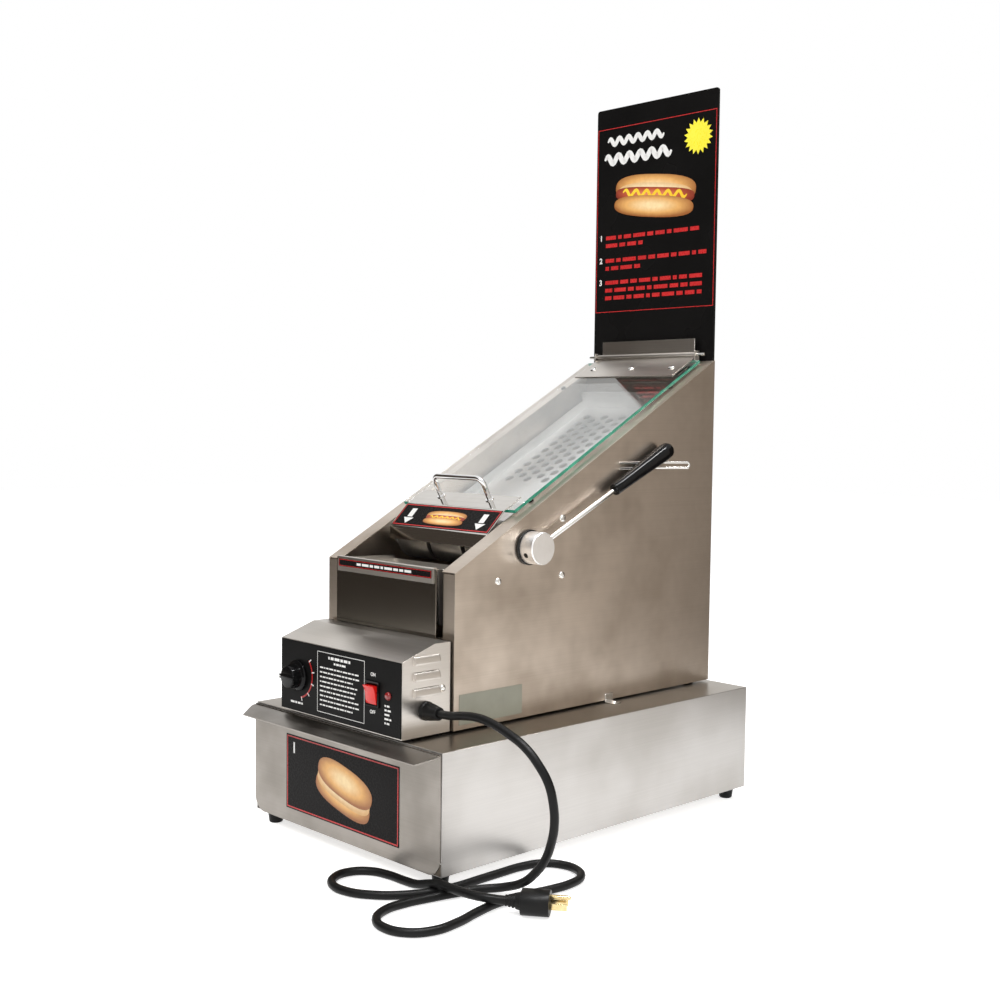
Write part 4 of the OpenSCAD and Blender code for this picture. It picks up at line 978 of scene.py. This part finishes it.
nose_parts = [bar("nose_vinyl", 0, 0, 0.166, 0.0345, 0.0015, "label_vinyl", vinyl),
              frame_line("nose_border", 0, 0, 0.164, 0.0325, 0.0012, "ink_red", vinyl)]
nose_parts += down_arrow("arrow_left", -0.062, vinyl) + down_arrow("arrow_right", 0.062, vinyl)
nose_parts.append(hot_dog_drawing("nose_hot_dog", 0.068, 0.024, 0.0, -0.002, 0))
nose_parts[-1].data.transform(Matrix.Translation((0, -vinyl, 0)))
nose_label = joined("nose_label", nose_parts)
nose_tilt, nose_half_height, nose_thickness = 15.5, 19.5, 1.2
nose_along = 116.5 - nose_half_height * math.cos(math.radians(nose_tilt))
nose_height = 6.7 - nose_half_height * math.sin(math.radians(nose_tilt)) + nose_thickness
put_on(nose_label, on_slope(0, nose_along, nose_height), 90 - (slope_degrees + nose_tilt), "lid")
print("labels", drawer_label.name, tray_strip.name, nose_label.name)

# %% [markdown]
# The control panel is printed black. A white frame of bars stands for the instructions, ON and OFF
# mark the switch, and a red arc with white ticks runs round the knob.

# %% Control panel print
panel_front, panel_height = -264.4, 188
dial_x, dial_z = -0.074, 0.002
panel_parts = [frame_line("notes_border", 0.004, -0.0008, 0.084, 0.0676, 0.0006, "ink_white")]
panel_parts += word_row("notes_title", -18, 26, 27.5, 3.0, "ink_white", 1.1, 1)
panel_parts += word_row("notes_second", -8, 18, 22.0, 2.2, "ink_white", 0.8, 4)
for row in range(9):
    panel_parts += word_row(f"notes_{row}", -33, 40 - 9 * (row % 3 == 2), 15.5 - 5.2 * row, 1.6,
                            "ink_white", 0.9, 2 * row)
panel_parts += [numeral("on_mark", "ON", 0.0605, 0.0205, 0.0052, "ink_white"),
                numeral("off_mark", "OFF", 0.0600, -0.0195, 0.0052, "ink_white")]
for row in range(5):
    panel_parts += word_row(f"lamp_words_{row}", 80, 93, -9.5 - 4.6 * row, 2.0, "ink_white", 0.9, 3 * row + 1)
panel_parts += word_row("knob_words", -88, -60, -31.0, 2.2, "ink_white", 0.9, 3)


def dial_mark(mark, degrees, radius):
    angle = math.radians(degrees)
    place = (dial_x + radius * math.cos(angle), 0, dial_z + radius * math.sin(angle))
    mark.data.transform(Matrix.Translation(place) @ Matrix.Rotation(-angle, 4, "Y"))
    panel_parts.append(mark)


for step in range(22):
    dial_mark(bar(f"dial_arc_{step}", 0, 0, 0.0018, 0.0029, 0.0, "ink_red"), 38 - step * 5.4, 0.0265)
for degrees in (38, 10, -18, -47, -76):
    dial_mark(bar(f"dial_tick_{degrees}", 0, 0, 0.0048, 0.0012, 0.0003, "ink_white", layer=ink),
              degrees, 0.0285)
panel_print = joined("panel_print", panel_parts)
put_on(panel_print, at(0, panel_front, panel_height), 0, "cabinet")
print("panel print", len(panel_print.data.polygons), "faces")

# %% [markdown]
# Two small marks remain: the white dot on the knob's rim and the blank foil plate on the side.

# %% Small marks
dot = bar("knob_dot", -0.0125, 0, 0.0042, 0.0016, 0.0004, "ink_white", 0.0002)
knob_depth = 17.0
put_on(dot, at(-74, panel_front - knob_depth, panel_height), 0, "knob")

plate = bar("blank_plate", 0, 0, 0.095, 0.033, 0.0015, "blank_foil", 0.0004)
make_active(plate)
plate.rotation_euler = (0, 0, quarter_turn)
plate.location = at(110.5, -139.5, 167.5)
settle()
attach(plate, "cabinet")
print("marks", dot.name, plate.name)

# %% [markdown]
# A dark grub screw sits in the rim of the lever's hub. It is a short cylinder, and its outer face is
# inset and pushed in a little, so that it reads as a socket.

# %% Grub screw
nothing_selected()
bpy.ops.mesh.primitive_cylinder_add(vertices=24, radius=0.0029, depth=0.0012)
hub_screw = fresh("hub_screw")
bpy.ops.object.mode_set(mode="EDIT")
mesh = bmesh.from_edit_mesh(hub_screw.data)
for face in mesh.faces:
    face.select_set(face.normal.z > faces_up)
bmesh.update_edit_mesh(hub_screw.data)
bpy.ops.mesh.inset(thickness=0.0008, depth=-0.0001)
bpy.ops.object.mode_set(mode="OBJECT")
rim_angle, rim_reach = math.radians(24), 0.01795
outward = Vector((0, -math.cos(rim_angle), -math.sin(rim_angle)))
hub_screw.rotation_euler = outward.to_track_quat("Z", "Y").to_euler()
hub_screw.location = at(122.6, -84, 337) + outward * rim_reach
settle()
bpy.ops.object.shade_smooth_by_angle(angle=smooth_below)
hub_screw.data.materials.append(finishes["gloss_phenolic"])
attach(hub_screw, "lever")
print("grub screw", hub_screw.name)
